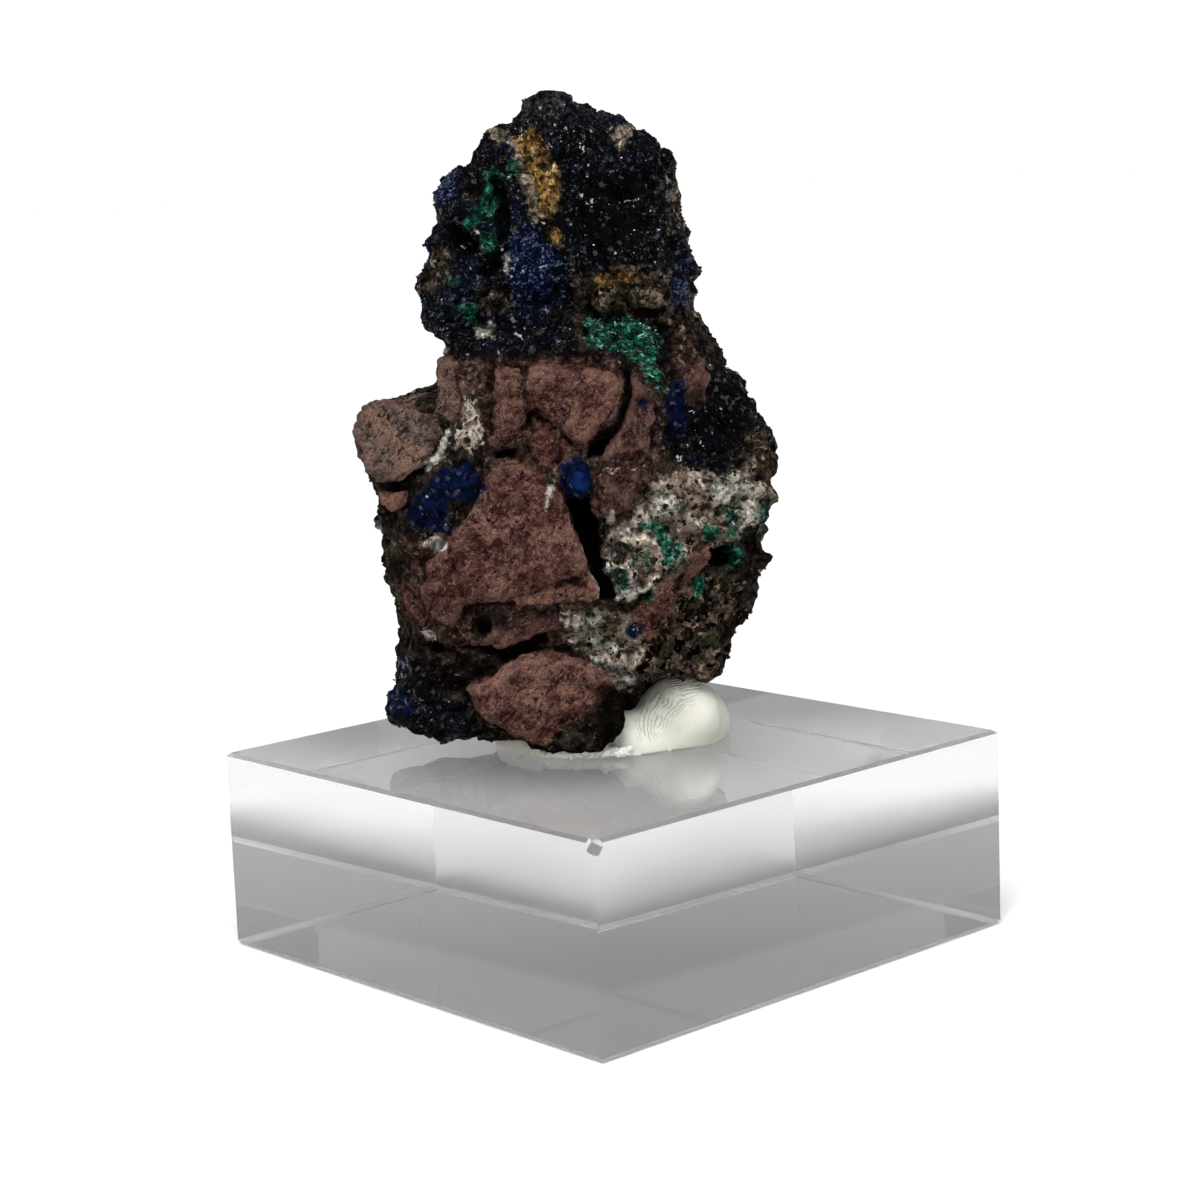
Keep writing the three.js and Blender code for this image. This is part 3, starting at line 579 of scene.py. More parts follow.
def masks_at(points):
    """How deep inside each kind of stone every point of the rock lies, in millimetres."""
    past = points[:, 1] - FACE_DEPTH + FACE_DEPTH_CHANGE * soft_noise(points, 4.5, 41.0)
    behind = ease(past, -1.0, 1.0)
    warp = np.stack([soft_noise(points, 3.8, 43.0), soft_noise(points, 3.8, 47.0)], axis=1)
    seen = points[:, [0, 2]] + SIDE_WARP * warp * ease(points[:, 1], -4.0, 2.0)[:, None]
    slow = soft_noise(points, 11.0, 3.0)
    slower = soft_noise(points, 14.0, 19.0)
    near, second, number = cell_noise(points, BACK_CLAST_SIZE).T
    back_clast = np.where(number > 0.4, (second - near) * BACK_CLAST_SIZE / 2 - 0.7, -2.0)
    back_height = points[:, 2] + 5.0 * slow
    back = {
        "clast": np.minimum(back_clast, BACK_CLASTS_TOP - back_height),
        "druse": back_height - BACK_CRUST_FOOT,
        "azurite": 9.0 * (slower + 0.5 * soft_noise(points, 4.0, 29.0) - 0.34),
        "malachite": 9.0 * (0.34 - np.abs(slower + 0.1)) - 2.6,
        "quartz": 8.0 * (-slow - 0.24),
        "ochre": 8.0 * (slow - 0.42),
        "earth": 8.0 * (slower + 0.05),
        "rust": 8.0 * (-slower - 0.05),
        "pale": 6.0 * (-slow - 0.42),
    }
    clast_depths = np.array([depth_inside(seen, outline) for outline in clasts.values()])
    front = {"clast": clast_depths.max(axis=0)}
    front |= {name: deepest(seen, outlines) for name, outlines in growths.items()}
    masks = {}
    for name, depth in front.items():
        depth = depth * (1 - behind) + back.get(name, NOT_BEHIND) * behind
        masks[name] = np.clip(depth, -MASK_REACH, MASK_REACH)
    tones = np.array([tone for tone, _ in CLASTS.values()])[clast_depths.argmax(axis=0)]
    masks["tone"] = tones * (1 - behind) + (0.2 + 0.6 * number) * behind
    return masks


skin = to_face(places(rock.data))
masks = masks_at(skin)
print("masks", {name: round(float((values > 0).mean()), 3) for name, values in masks.items()})

# %% [markdown]
# First the solid is tuned: the crust is softened, the great clast's face is levelled, the top follows the
# peak's line, and a few parts swell or shrink by a millimetre or two. Each kind of stone then breaks in its
# own way. A clast breaks nearly flat, with low steps. The matrix crumbles. Azurite and quartz stand in
# knots of crystals. Between a clast and its matrix runs a narrow open seam. The finish paints shade into
# hollows, so the distance from each vertex to a smoothed copy of the rock is kept as a mask of its own.

# %% Break the surface
HOLLOW_ROUNDS = 14
SEAM_DEPTH = 0.45
SEAM_WIDTH = 0.20
FILL_HEIGHT = 0.65
LOBE_ROOM = 0.9
DRUSE_ROUNDS = 5
PEAK_LINE = [
    (-15.6, 75.6), (-14.4, 77.1), (-11.2, 77.4), (-10.2, 80.4), (-6.2, 82.3), (-3.3, 85.4), (-1.4, 83.5),
    (1.4, 82.2), (5.2, 81.2), (7.2, 79.9), (9.0, 75.8), (10.4, 70.0),
]
PEAK_FOOT = 72.0
PEAK_GIVE = 0.2
PEAK_DEPTH = 1.6
PEAK_FALL = 0.05
ROOM_AT_TOP = 0.12
SOFT_TOP = 1.2
CLAST_GIVE = 0.35
CLAST_EDGE = 0.3
CLAST_REACH = 1.5
SWELLS = [  # each: its middle and half size in (u, w), the v it fades over, and its move in (u, w)
    ((9.8, 28.0), (2.0, 2.5), (-2.0, 1.0), (0.3, -1.4)),
    ((0.4, 23.8), (2.8, 2.2), (2.0, -1.0), (0.9, -2.8)),
    ((-2.6, 22.4), (2.4, 1.6), (2.0, -1.0), (0.0, -1.4)),
    ((-5.2, 21.4), (2.0, 1.6), (2.0, -1.0), (0.6, -0.6)),
    ((-21.4, 24.6), (1.8, 2.4), (9.0, 6.0), (-1.6, 0.0)),
    ((-3.4, 84.4), (1.5, 1.6), (6.0, 4.0), (0.0, 0.9)),
]


def smoothed(mesh, points, rounds):
    """The points after each has moved to the middle of its neighbours this many times."""
    pairs = np.empty(len(mesh.edges) * 2, np.int64)
    mesh.edges.foreach_get("vertices", pairs)
    start, end = pairs.reshape(-1, 2).T
    count = np.bincount(start, minlength=len(points)) + np.bincount(end, minlength=len(points))
    for _ in range(rounds):
        total = np.zeros_like(points)
        for axis in range(3):
            for near, far in ((start, end), (end, start)):
                total[:, axis] += np.bincount(near, points[far, axis], len(points))
        points = total / np.maximum(count, 1)[:, None]
    return points


def knots(points, size, offset):
    """Rounded knots with creases between them, from 0 in a crease to 1 on a knot."""
    near, second, _ = cell_noise(points, size, offset).T
    return ease(second - near, 0.0, 0.5)


def levelled(points, outline):
    """The points, with the hollows of a clast's broken face brought up near its plane."""
    depth = depth_inside(points[:, [0, 2]], outline)
    chosen = (depth > CLAST_EDGE) & (points[:, 1] < CLAST_REACH)
    across = np.column_stack([np.ones(chosen.sum()), points[chosen][:, [0, 2]]])
    plane = np.linalg.lstsq(across, points[chosen, 1], rcond=None)[0]
    behind = np.maximum(points[chosen, 1] - across @ plane - CLAST_GIVE, 0)
    print("clast levelled by", round(float(behind.max()), 2), "mm at most")
    points[chosen, 1] -= behind * ease(depth[chosen], CLAST_EDGE, 1.0)
    return points


def shaped(points):
    """The points, with the top brought down to the peak's line and each swell's part moved."""
    line = np.interp(points[:, 0], *np.array(PEAK_LINE).T) - PEAK_FALL * (points[:, 1] - PEAK_DEPTH) ** 2
    over = np.maximum(points[:, 2] - np.maximum(line, PEAK_FOOT), 0)
    points[:, 2] -= (1 - PEAK_GIVE) * over
    for middle, half, fade, move in SWELLS:
        away = ((points[:, [0, 2]] - middle) / half) ** 2
        share = np.exp(-away.sum(axis=1)) * ease(points[:, 1], *fade)
        points[:, [0, 2]] += share[:, None] * move
    return points


on_clast = ease(masks["clast"], -0.10, 0.20)
on_druse = ease(masks["druse"] + 0.8 * soft_noise(skin, 2.0), -0.3, 0.5) * (1 - on_clast)
on_quartz = ease(masks["quartz"], -0.4, 0.4) * (1 - on_clast)
on_ground = ease(np.maximum(masks["earth"], masks["rust"]), -0.8, 0.8) * (1 - on_clast)
on_ground *= ease(-masks["gloom"], -0.2, 0.4)
hard_places = places(rock.data)
soft_places = smoothed(rock.data, hard_places, DRUSE_ROUNDS)
soft_places = hard_places + (soft_places - hard_places) * on_druse[:, None]
set_places(rock.data, from_face(shaped(levelled(to_face(soft_places), clasts["great"]))))
facing = ease(-normals(rock.data) @ turn[:, 1], 0.2, 0.7) * ease(-skin[:, 1], 5.0, 7.0)
crumbly = 1 - on_clast
coarse = soft_noise(skin, 2.1, 1.0)
middling = soft_noise(skin, 1.05, 2.0)
fine = soft_noise(skin, 0.6, 4.0)
bedding = skin * np.array([0.7, 1.0, 1.4])
steps = np.round(3.0 * soft_noise(bedding, 3.2, 8.0)) / 3.0
low_steps = np.round(2.5 * soft_noise(bedding, 1.5, 21.0)) / 2.5
cracks = np.exp(-((soft_noise(skin, 4.2, 17.0) / 0.05) ** 2))
seam_gate = ease(soft_noise(skin, 2.4, 12.0), -0.30, 0.15)
border = ease(0.9 - masks["clast"], 0.0, 0.9) * on_clast
bare = crumbly * (1 - on_druse)
lift = crumbly * (0.38 * coarse + 0.10 * middling) + bare * (0.32 * middling + 0.24 * fine)
lift += FILL_HEIGHT * on_ground * facing
lift += on_clast * (0.40 * steps + 0.25 * low_steps + 0.14 * coarse + 0.14 * middling + 0.14 * fine)
lift -= on_clast * 0.20 * cracks + border * 0.5 * np.maximum(coarse + middling, 0)
druse_knots = 0.60 * knots(skin, 3.4, 5.0) - 0.40 + 0.22 * knots(skin, 1.6, 6.0)
quartz_knots = 0.45 * knots(skin, 2.6, 7.0) - 0.25 + 0.18 * knots(skin, 1.2, 9.0)
lift += (
    on_druse * (druse_knots + 0.20 * middling + 0.08 * fine) + on_quartz * (quartz_knots + 0.25 * low_steps)
)
lift -= SEAM_DEPTH * seam_gate * np.exp(-(((masks["clast"] + 0.12) / SEAM_WIDTH) ** 2))
lift -= 1.3 * ease(masks["gloom"], -0.15, 0.35)
above_lobe = ease(skin[:, 2], 29.5, 27.0) * ease(skin[:, 0], 2.0, 4.5) * ease(skin[:, 0], 9.5, 8.0)
lift -= LOBE_ROOM * above_lobe * ease(skin[:, 1], 1.0, -1.5)
rough_places = places(rock.data) + normals(rock.data) * lift[:, None] * MM
near_top = frame_box[1][2] - (ROOM_AT_TOP + SOFT_TOP) * MM
over = np.maximum(rough_places[:, 2] - near_top, 0)
rough_places[:, 2] -= over - SOFT_TOP * MM * np.tanh(over / (SOFT_TOP * MM))
rough_places[:, 2] = np.maximum(rough_places[:, 2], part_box("rock_specimen")[0].z)
set_places(rock.data, rough_places)
even = smoothed(rock.data, rough_places, HOLLOW_ROUNDS)
masks["hollow"] = np.clip(((even - rough_places) * normals(rock.data)).sum(axis=1) / MM, -1.5, 1.5)

for name, values in masks.items():
    rock.data.attributes.new(name, "FLOAT", "POINT").data.foreach_set("value", values.astype(np.float32))
print("lift in mm", round(float(lift.min()), 2), "to", round(float(lift.max()), 2))

# %% [markdown]
# The rock's finish has one layer for each kind of stone, and mixes them by the masks. Every mask is frayed
# with noise first, so that no border is a clean line. Clasts are red-brown with pale flecks and dark
# specks, and the matrix is nearly black with grey grains. Seams and hollows, and the drawn cracks and dark
# patches, get painted shade, nearly black.

# %% Rock finish
BLACK = (0.0012, 0.0009, 0.0008)


def rock_finish():
    finish = Finish("breccia")
    ramp, lines, layered = finish.ramp, finish.lines, finish.layered
    fray = finish.grain(0.9, 5.0, 0.65) - 0.5
    fleck = finish.grain(0.26, 3.0, 0.65, 2.0)
    grit = finish.grain(0.12, 2.0, 0.6, 6.0)
    chaos = finish.grain(0.7, 4.0, 0.7, 11.0, 0.9)
    blotch = finish.grain(1.8, 5.0, 0.68, 5.0, 1.2)
    patch = finish.grain(4.8, 4.0, 0.6, 9.0, 0.8)
    hatch = finish.fibres(0.9, 0.75, (0.6, 1.0, 1.35))
    cross_hatch = finish.fibres(0.7, -0.5, (0.55, 1.0, 1.3), 0.02)
    facet = finish.cell_number(finish.cells(0.42, 0.9))
    shard = finish.cell_number(finish.cells(2.3, 0.9))
    dimple = finish.cells(0.62, 1.0)
    crumb = finish.cell_number(dimple)
    height = finish.height()

    def inside(name, fraying=1.6, softness=0.22):
        return ramp(finish.attribute(name) + fray * fraying, -softness, softness)

    tone = finish.attribute("tone")
    scratches = lines(hatch, 0.014) * ramp(patch, 0.50, 0.55) * tone
    clast = layered((0.024, 0.008, 0.008), [
        (tone, (0.116, 0.053, 0.045)),
        (ramp(tone, 0.85, 0.95) * 0.8, (0.078, 0.070, 0.063)),
        (ramp(patch, 0.50, 0.60) * tone * 0.9, (0.145, 0.064, 0.040)),
        (ramp(patch, 0.49, 0.41) * 0.75, (0.050, 0.015, 0.013)),
        (ramp(chaos, 0.52, 0.66) * tone * 0.9, (0.250, 0.125, 0.085)),
        (ramp(hatch, 0.53, 0.66) * tone * 0.8, (0.270, 0.150, 0.112)),
        (ramp(cross_hatch, 0.56, 0.66) * tone * 0.6, (0.220, 0.105, 0.075)),
        (ramp(tone, 0.85, 0.95) * 0.35, (0.085, 0.079, 0.072)),
        (ramp(hatch, 0.47, 0.38) * 0.75, (0.018, 0.006, 0.006)),
        (ramp(chaos, 0.47, 0.36) * 0.85, (0.012, 0.004, 0.004)),
        (ramp(fleck, 0.58, 0.70) * 0.55, (0.36, 0.25, 0.20)),
        (ramp(fleck, 0.42, 0.32) * 0.70, (0.010, 0.004, 0.004)),
        (scratches, (0.34, 0.22, 0.17)),
        (lines(cross_hatch, 0.014) * ramp(patch, 0.52, 0.46) * 0.85, BLACK),
        (lines(patch, 0.009) * ramp(blotch, 0.45, 0.52) * 0.95, BLACK),
    ])
    rust = layered((0.018, 0.009, 0.007), [
        (ramp(blotch, 0.40, 0.60), (0.080, 0.046, 0.036)),
        (ramp(chaos, 0.54, 0.68) * 0.7, (0.240, 0.150, 0.115)),
        (ramp(patch, 0.54, 0.64) * 0.6, (0.060, 0.048, 0.036)),
        (ramp(chaos, 0.47, 0.38) * 0.85, BLACK),
        (lines(blotch, 0.014) * 0.8, BLACK),
    ])

    matrix = layered((0.003, 0.002, 0.002), [
        (ramp(blotch, 0.42, 0.66), (0.040, 0.029, 0.020)),
        (ramp(chaos, 0.58, 0.70) * 0.6, (0.16, 0.14, 0.115)),
    ])
    earth = layered((0.007, 0.005, 0.003), [
        (ramp(blotch, 0.42, 0.60), (0.066, 0.047, 0.033)),
        (ramp(patch, 0.50, 0.58) * 0.7, (0.026, 0.027, 0.013)),
        (ramp(shard, 0.72, 0.80) * ramp(chaos, 0.44, 0.58) * 0.8, (0.150, 0.108, 0.080)),
        (ramp(crumb, 0.88, 0.92) * ramp(chaos, 0.44, 0.56) * 0.8, (0.25, 0.18, 0.13)),
        (ramp(crumb, 0.24, 0.16) | ramp(chaos, 0.46, 0.39) * 0.9, BLACK),
    ])

    dusted = ramp(blotch, 0.53, 0.64) | ramp(height + chaos * 4 * MM, 82.0 * MM, 85.5 * MM)
    druse = layered((0.0008, 0.0008, 0.0010), [
        (ramp(patch, 0.46, 0.62), (0.0010, 0.0026, 0.011)),
        (dusted * ramp(chaos, 0.42, 0.54) * 0.7, (0.028, 0.026, 0.023)),
        (ramp(fleck, 0.55, 0.68) * ramp(chaos, 0.44, 0.58), (0.14, 0.14, 0.135)),
    ])

    quartz = layered((0.230, 0.165, 0.125), [
        (ramp(shard, 0.20, 0.60), (0.50, 0.43, 0.345)),
        (ramp(shard, 0.78, 0.84) * 0.8, (0.38, 0.39, 0.34)),
        (ramp(fleck, 0.54, 0.66) * 0.35, (0.62, 0.58, 0.50)),
        (ramp(blotch, 0.45, 0.39) * 0.9, (0.060, 0.036, 0.026)),
        (ramp(patch, 0.45, 0.40) * 0.6, (0.040, 0.036, 0.022)),
        (ramp(crumb, 0.10, 0.06) | ramp(chaos, 0.41, 0.35), (0.014, 0.010, 0.007)),
        (lines(blotch, 0.012) * ramp(chaos, 0.40, 0.48) * 0.9, (0.022, 0.011, 0.008)),
        (ramp(height, 36 * MM, 33 * MM) * ramp(shard, 0.5, 0.7) * 0.6, (0.33, 0.33, 0.30)),
    ])
    pale = finish.mix(ramp(chaos, 0.42, 0.58), (0.26, 0.24, 0.20), (0.66, 0.65, 0.58))

    malachite = layered((0.001, 0.012, 0.007), [
        (ramp(chaos, 0.42, 0.66), (0.020, 0.170, 0.105)),
        (ramp(chaos, 0.58, 0.68) * 0.7, (0.17, 0.42, 0.31)),
    ])
    frosted = ramp(height, 55 * MM, 62 * MM) * 0.75 + 0.03
    azurite = layered((0.0005, 0.0012, 0.006), [
        (ramp(chaos, 0.40, 0.58), (0.001, 0.0055, 0.034)),
        (ramp(fleck, 0.50, 0.62) * ramp(chaos, 0.46, 0.56) * frosted, (0.17, 0.21, 0.30)),
    ])
    ochre = layered((0.045, 0.022, 0.005), [
        (ramp(chaos, 0.42, 0.60), (0.360, 0.215, 0.065)),
        (ramp(fleck, 0.45, 0.36) * 0.8, (0.030, 0.014, 0.004)),
    ])
    rim = finish.mix(ramp(chaos, 0.40, 0.60), (0.055, 0.040, 0.026), (0.27, 0.22, 0.165))

    on_clast = inside("clast", 0.7, 0.12)
    on_druse = inside("druse", 2.6, 0.4)
    on_earth = inside("earth", 3.0, 0.6)
    on_rust = inside("rust", 2.4, 0.5)
    on_quartz = inside("quartz", 2.8, 0.3)
    on_azurite = inside("azurite", 2.6, 0.3) * ramp(blotch, 0.34, 0.42)
    on_malachite = inside("malachite", 2.8, 0.3) * ramp(blotch, 0.40, 0.48)
    colour = layered(matrix, [
        (on_druse, druse),
        (on_earth, earth),
        (on_rust, rust),
        (on_quartz, quartz),
        (on_clast, clast),
        (inside("rim", 2.4), rim),
        (inside("ochre", 2.6, 0.4) * 0.9, ochre),
        (inside("pale", 2.0) * 0.85, pale),
        (on_azurite, azurite),
        (on_malachite, malachite),
    ])
    crumbly = 1 - (on_clast | on_azurite)
    colour = finish.mix(ramp(facet, 0.30, 0.22) * crumbly * 0.55, colour, BLACK)
    colour = finish.mix(ramp(facet, 0.74, 0.82) * crumbly * 0.5, colour, colour, "ADD")
    hollow = finish.attribute("hollow")
    # Painted shade: the deeper a hollow, the nearer black its colour.
    painted_hollow_shade = ramp(hollow, 0.05, 0.40) * 0.85
    # Painted shade: the drawn cracks and dark patches are painted nearly black.
    painted_drawn_shade = ramp(finish.attribute("gloom"), -0.2, 0.3) | inside("dim", 2.8, 0.5) * 0.85
    # Clasts are a little lighter on their raised parts.
    raised_on_clast = ramp(hollow, -0.08, -0.35) * on_clast
    colour = layered(colour, [(painted_hollow_shade | painted_drawn_shade, BLACK), (raised_on_clast * 0.20, (0.24, 0.14, 0.11))])

    crystalline = on_druse | on_azurite | on_malachite
    wet = ramp(tone, 0.40, 0.15) * on_clast * ramp(chaos, 0.46, 0.56)
    loose = crumbly * (0.30 * (1 - dimple) + 0.20 * crumb + 0.12 * facet)
    relief = (chaos * 0.55 + hatch * 0.45) * (1 - 0.4 * crumbly) + fleck * 0.25 + grit * 0.12 + loose
    return finish.build(
        Base_Color=colour,
        Roughness=0.85 - 0.20 * on_quartz - 0.35 * crystalline,
        Specular_IOR_Level=0.025,
        Coat_Weight=ramp(facet, 0.86, 0.92) * crystalline * 0.8 | wet * 0.5,
        Coat_Roughness=0.10,
        Normal=finish.bump(relief, 0.55, 1.0),
    )


rock.data.materials.clear()
rock.data.materials.append(rock_finish())
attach(rock, "root")
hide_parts("rock_specimen")
print("rock is dressed")

# %% [markdown]
# Crystals and grains are too many to model one by one. One small crystal is made with a bmesh operator, and
# its vertices are placed again and again by arrays: each copy gets a seat on the rock's skin, a direction
# near the skin's normal, a turn and a size. All copies are one mesh, and each keeps a number of its own,
# which varies its colour.

# %% Growing many small things
def skin_seats(mask, count, seed):
    """Random points on the rock's skin where the mask is true, and the normals there."""
    chosen = np.random.default_rng(seed).choice(np.flatnonzero(mask), count)
    return places(rock.data)[chosen], normals(rock.data)[chosen]


def frames_along(directions, generator):
    """A turn for each direction, whose third axis is that direction."""
    spin = generator.normal(size=directions.shape)
    side = np.cross(spin, directions)
    side /= np.linalg.norm(side, axis=1)[:, None]
    return np.stack([side, np.cross(directions, side), directions], axis=2)


def grow(name, template, seats, directions, sizes, seed, numbers=None):
    """One mesh of many copies of a template, each with its seat, its direction and its own three sizes."""
    generator = np.random.default_rng(seed)
    corners = np.array([vert.co[:] for vert in template.verts])
    faces = [[vert.index for vert in face.verts] for face in template.faces]
    template.free()
    turns = frames_along(directions, generator)
    points = np.einsum("nij,nkj->nki", turns, corners[None] * sizes[:, None, :] * MM) + seats[:, None, :]
    firsts = range(0, len(seats) * len(corners), len(corners))
    shifted = [[first + corner for corner in face] for first in firsts for face in faces]
    mesh = bpy.data.meshes.new(name)
    mesh.from_pydata(points.reshape(-1, 3), [], shifted)
    numbers = generator.random(len(seats)) if numbers is None else numbers
    own = mesh.attributes.new("own", "FLOAT", "POINT")
    own.data.foreach_set("value", np.repeat(numbers, len(corners)).astype(np.float32))
    piece = bpy.data.objects.new(name, mesh)
    bpy.context.scene.collection.objects.link(piece)
    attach(piece, "root")
    print(name, len(seats), "copies,", len(mesh.polygons), "faces")
    return piece


def leaning(directions, amount, generator):
    """Directions that each lean a random way."""
    leant = directions + amount * generator.normal(size=directions.shape)
    return leant / np.linalg.norm(leant, axis=1)[:, None]


# %% [markdown]
# The azurite is a druse: thousands of stubby crystals, most under a millimetre, nearly black, with a blue
# glint where light gets into them. A five-sided tapered prism reads as one at this size. They cover the
# upper part, the right shoulder and the tip at lower left, and stand closer and bluer in the blue patches.

# %% Azurite crystals
def crystal_template(sides, taper):
    """A tapered prism one unit wide and one tall, standing on its origin."""
    shape = bmesh.new()
    bmesh.ops.create_cone(shape, cap_ends=True, segments=sides, radius1=0.5, radius2=0.5 * taper, depth=1.0)
    bmesh.ops.translate(shape, verts=shape.verts, vec=(0, 0, 0.12))
    return shape


def lodged_template():
    """A stubby crystal one unit across, with a pointed top and rounded edges, round its origin."""
    shape = bmesh.new()
    bmesh.ops.create_uvsphere(shape, u_segments=9, v_segments=7, radius=0.5)
    for vert in shape.verts:
        narrowing = 1.0 - 0.55 * max(vert.co.z, 0) / 0.5
        vert.co.x *= narrowing
        vert.co.y *= narrowing
    bmesh.ops.subdivide_edges(shape, edges=shape.edges, cuts=1, smooth=0.6, use_grid_fill=True)
    return shape


HEADROOM = 0.8
UNLIKE_CRUST = ("clast", "ochre", "rim", "pale", "malachite", "azurite")
LODGED_CRYSTAL = (-2.1, 47.7)
LODGED_LEAN = (-0.26, 0.10, 0.96)
LODGED_SIZE = (2.25, 2.1, 3.3)
LODGED_SHIFT = (0.0, 0.5, 0.3)
LODGED_ROOM = 2.6
under_top = places(rock.data)[:, 2] < frame_box[1][2] - HEADROOM * MM
grain_noise = soft_noise(skin, 3.2, 31.0)
bare_spots = np.max([masks[name] for name in UNLIKE_CRUST], axis=0) < -0.2
druse_cover = (masks["druse"] + 1.2 * grain_noise > -0.3) & bare_spots & under_top
from_lodged = np.hypot(skin[:, 0] - LODGED_CRYSTAL[0], skin[:, 2] - LODGED_CRYSTAL[1])
blue_cover = (masks["azurite"] + 1.2 * grain_noise > 0.1) & under_top & (from_lodged > LODGED_ROOM)
generator = np.random.default_rng(51)

DARK_CRYSTALS = 7000
seats, outward = skin_seats(druse_cover, DARK_CRYSTALS, 52)
size = 0.16 + 0.30 * generator.random(DARK_CRYSTALS) ** 3
sizes = np.stack([size, size * 0.8, size * (0.3 + 0.3 * generator.random(DARK_CRYSTALS))], axis=1)
directions = leaning(outward, 0.4, generator)
azurite_dark = grow("azurite_druse", crystal_template(5, 0.6), seats, directions, sizes, 53)

BLUE_CRYSTALS = 600
seats, outward = skin_seats(blue_cover, BLUE_CRYSTALS, 54)
size = 0.16 + 0.28 * generator.random(BLUE_CRYSTALS) ** 2
sizes = np.stack([size, size * 0.7, size * 0.4], axis=1)
directions = leaning(outward, 0.5, generator)
azurite_blue = grow("azurite_patches", crystal_template(5, 0.5), seats, directions, sizes, 55)

lodged_seat = np.flatnonzero(skin[:, 1] < 0)
apart = np.hypot(*(skin[lodged_seat][:, [0, 2]] - LODGED_CRYSTAL).T)
lodged_place = skin[lodged_seat[apart.argmin()]] + LODGED_SHIFT
lodged = grow(
    "lodged_crystal",
    lodged_template(),
    from_face(np.array([lodged_place])),
    from_face(np.array([LODGED_LEAN])) / MM,
    np.array([LODGED_SIZE]),
    56,
)


def azurite_finish(name, deep, bright, glint, glint_share):
    finish = Finish(name)
    own = finish.attribute("own")
    mottle = finish.grain(2.2, 3.0, 0.6, 3.0)
    patch = finish.grain(6.0, 3.0, 0.5, 13.0)
    blueness = finish.ramp(own * 0.6 + patch * 0.8, 0.55, 1.0)
    colour = finish.mix(blueness, deep, bright)
    # A few crystals get a pale colour: on the dark druse a painted glint, in the blue patches pale specks.
    colour = finish.mix(finish.ramp(own, 1 - glint_share - 0.005, 1 - glint_share), colour, glint)
    colour = finish.mix(finish.ramp(mottle, 0.60, 0.72) * 0.5, colour, (0.05, 0.042, 0.034))
    return finish.build(
        Base_Color=colour,
        Roughness=0.20 + 0.40 * finish.grain(0.6, 2.0),
        Specular_IOR_Level=0.035,
        Coat_Weight=finish.ramp(own, 0.84, 0.90),
        Coat_Roughness=0.04,
        Normal=finish.bump(finish.grain(0.12, 2.0), 0.03, 0.5),
    )


azurite_dark.data.materials.append(
    azurite_finish("azurite_dark", (0.0008, 0.0008, 0.0011), (0.001, 0.003, 0.012), (0.30,) * 3, 0.012)
)
azurite_blue.data.materials.append(
    azurite_finish("azurite_blue", (0.0005, 0.0012, 0.006), (0.001, 0.005, 0.032), (0.13, 0.16, 0.22), 0.06)
)


def lodged_finish():
    finish = Finish("azurite_crystal")
    mottle = finish.grain(1.1, 4.0, 0.6, 3.0, 0.6)
    # Painted light: the crystal's lower part is painted a brighter blue, as if lit through.
    painted_low_glow = finish.ramp(finish.height(), 48.2 * MM, 46.6 * MM)
    colour = finish.mix(finish.ramp(mottle, 0.38, 0.62), (0.0005, 0.0016, 0.014), (0.0008, 0.009, 0.062))
    colour = finish.mix(painted_low_glow * finish.ramp(mottle, 0.42, 0.58) * 0.7, colour, (0.0008, 0.026, 0.115))
    return finish.build(
        Base_Color=colour,
        Roughness=0.35 + 0.30 * mottle,
        Specular_IOR_Level=0.05,
        Normal=finish.bump(finish.grain(0.35, 3.0), 0.10, 0.8),
    )


lodged.data.materials.append(lodged_finish())

# %% [markdown]
# Malachite here is silky: bundles of fine green blades lie side by side on the ledge and run down to the
# right. Each blade is a long four-sided spindle, laid along the surface rather than standing on it.

# %% Malachite blades
BLADES = 950
LEDGE_FOOT = 57
LEDGE_LEFT = -8
on_ledge = (skin[:, 2] > LEDGE_FOOT) & (skin[:, 0] > LEDGE_LEFT)
green_cover = (masks["malachite"] + 1.4 * grain_noise > 0.25) & on_ledge & under_top
seats, outward = skin_seats(green_cover, BLADES, 61)
generator = np.random.default_rng(62)
along = from_face(np.array([[1.0, -0.1, -0.45]]))
along = np.repeat(along / np.linalg.norm(along), BLADES, axis=0)
along = along - (along * outward).sum(axis=1)[:, None] * outward + 0.30 * outward
length = 0.30 + 0.55 * generator.random(BLADES)
width = 0.15 + 0.20 * generator.random(BLADES)
sizes = np.stack([width, 0.08 + 0.10 * generator.random(BLADES), length], axis=1)
directions = leaning(along / np.linalg.norm(along, axis=1)[:, None], 0.40, generator)
malachite = grow("malachite_blades", crystal_template(4, 0.6), seats, directions, sizes, 63)


def malachite_finish():
    finish = Finish("malachite")
    own = finish.attribute("own")
    bundle = finish.ramp(finish.grain(1.1, 3.0, 0.6, 3.0), 0.40, 0.60)
    colour = finish.mix(own * bundle, (0.0005, 0.008, 0.004), (0.006, 0.210, 0.115))
    # Painted highlight: a few blades in the brighter bundles are coloured pale mint.
    colour = finish.mix(finish.ramp(own, 0.88, 0.95) * bundle, colour, (0.22, 0.55, 0.42))
    return finish.build(
        Base_Color=colour,
        Roughness=0.30 + 0.2 * finish.grain(0.5, 2.0),
        Specular_IOR_Level=0.35,
        Normal=finish.bump(finish.grain(0.10, 2.0), 0.02, 0.5),
    )


malachite.data.materials.append(malachite_finish())

# %% [markdown]
# Quartz and other pale grains fill the right side. They are small broken lumps, so a jittered icosphere of
# twenty faces does for one. Dark grains of the same kind roughen the matrix, and break up its outline.

# %% Quartz and matrix grains
def grain_template(seed):
    """A broken grain one unit wide."""
    rng = random.Random(seed)
    shape = bmesh.new()
    bmesh.ops.create_icosphere(shape, subdivisions=1, radius=0.5)
    for vert in shape.verts:
        vert.co *= 0.75 + 0.5 * rng.random()
    return shape


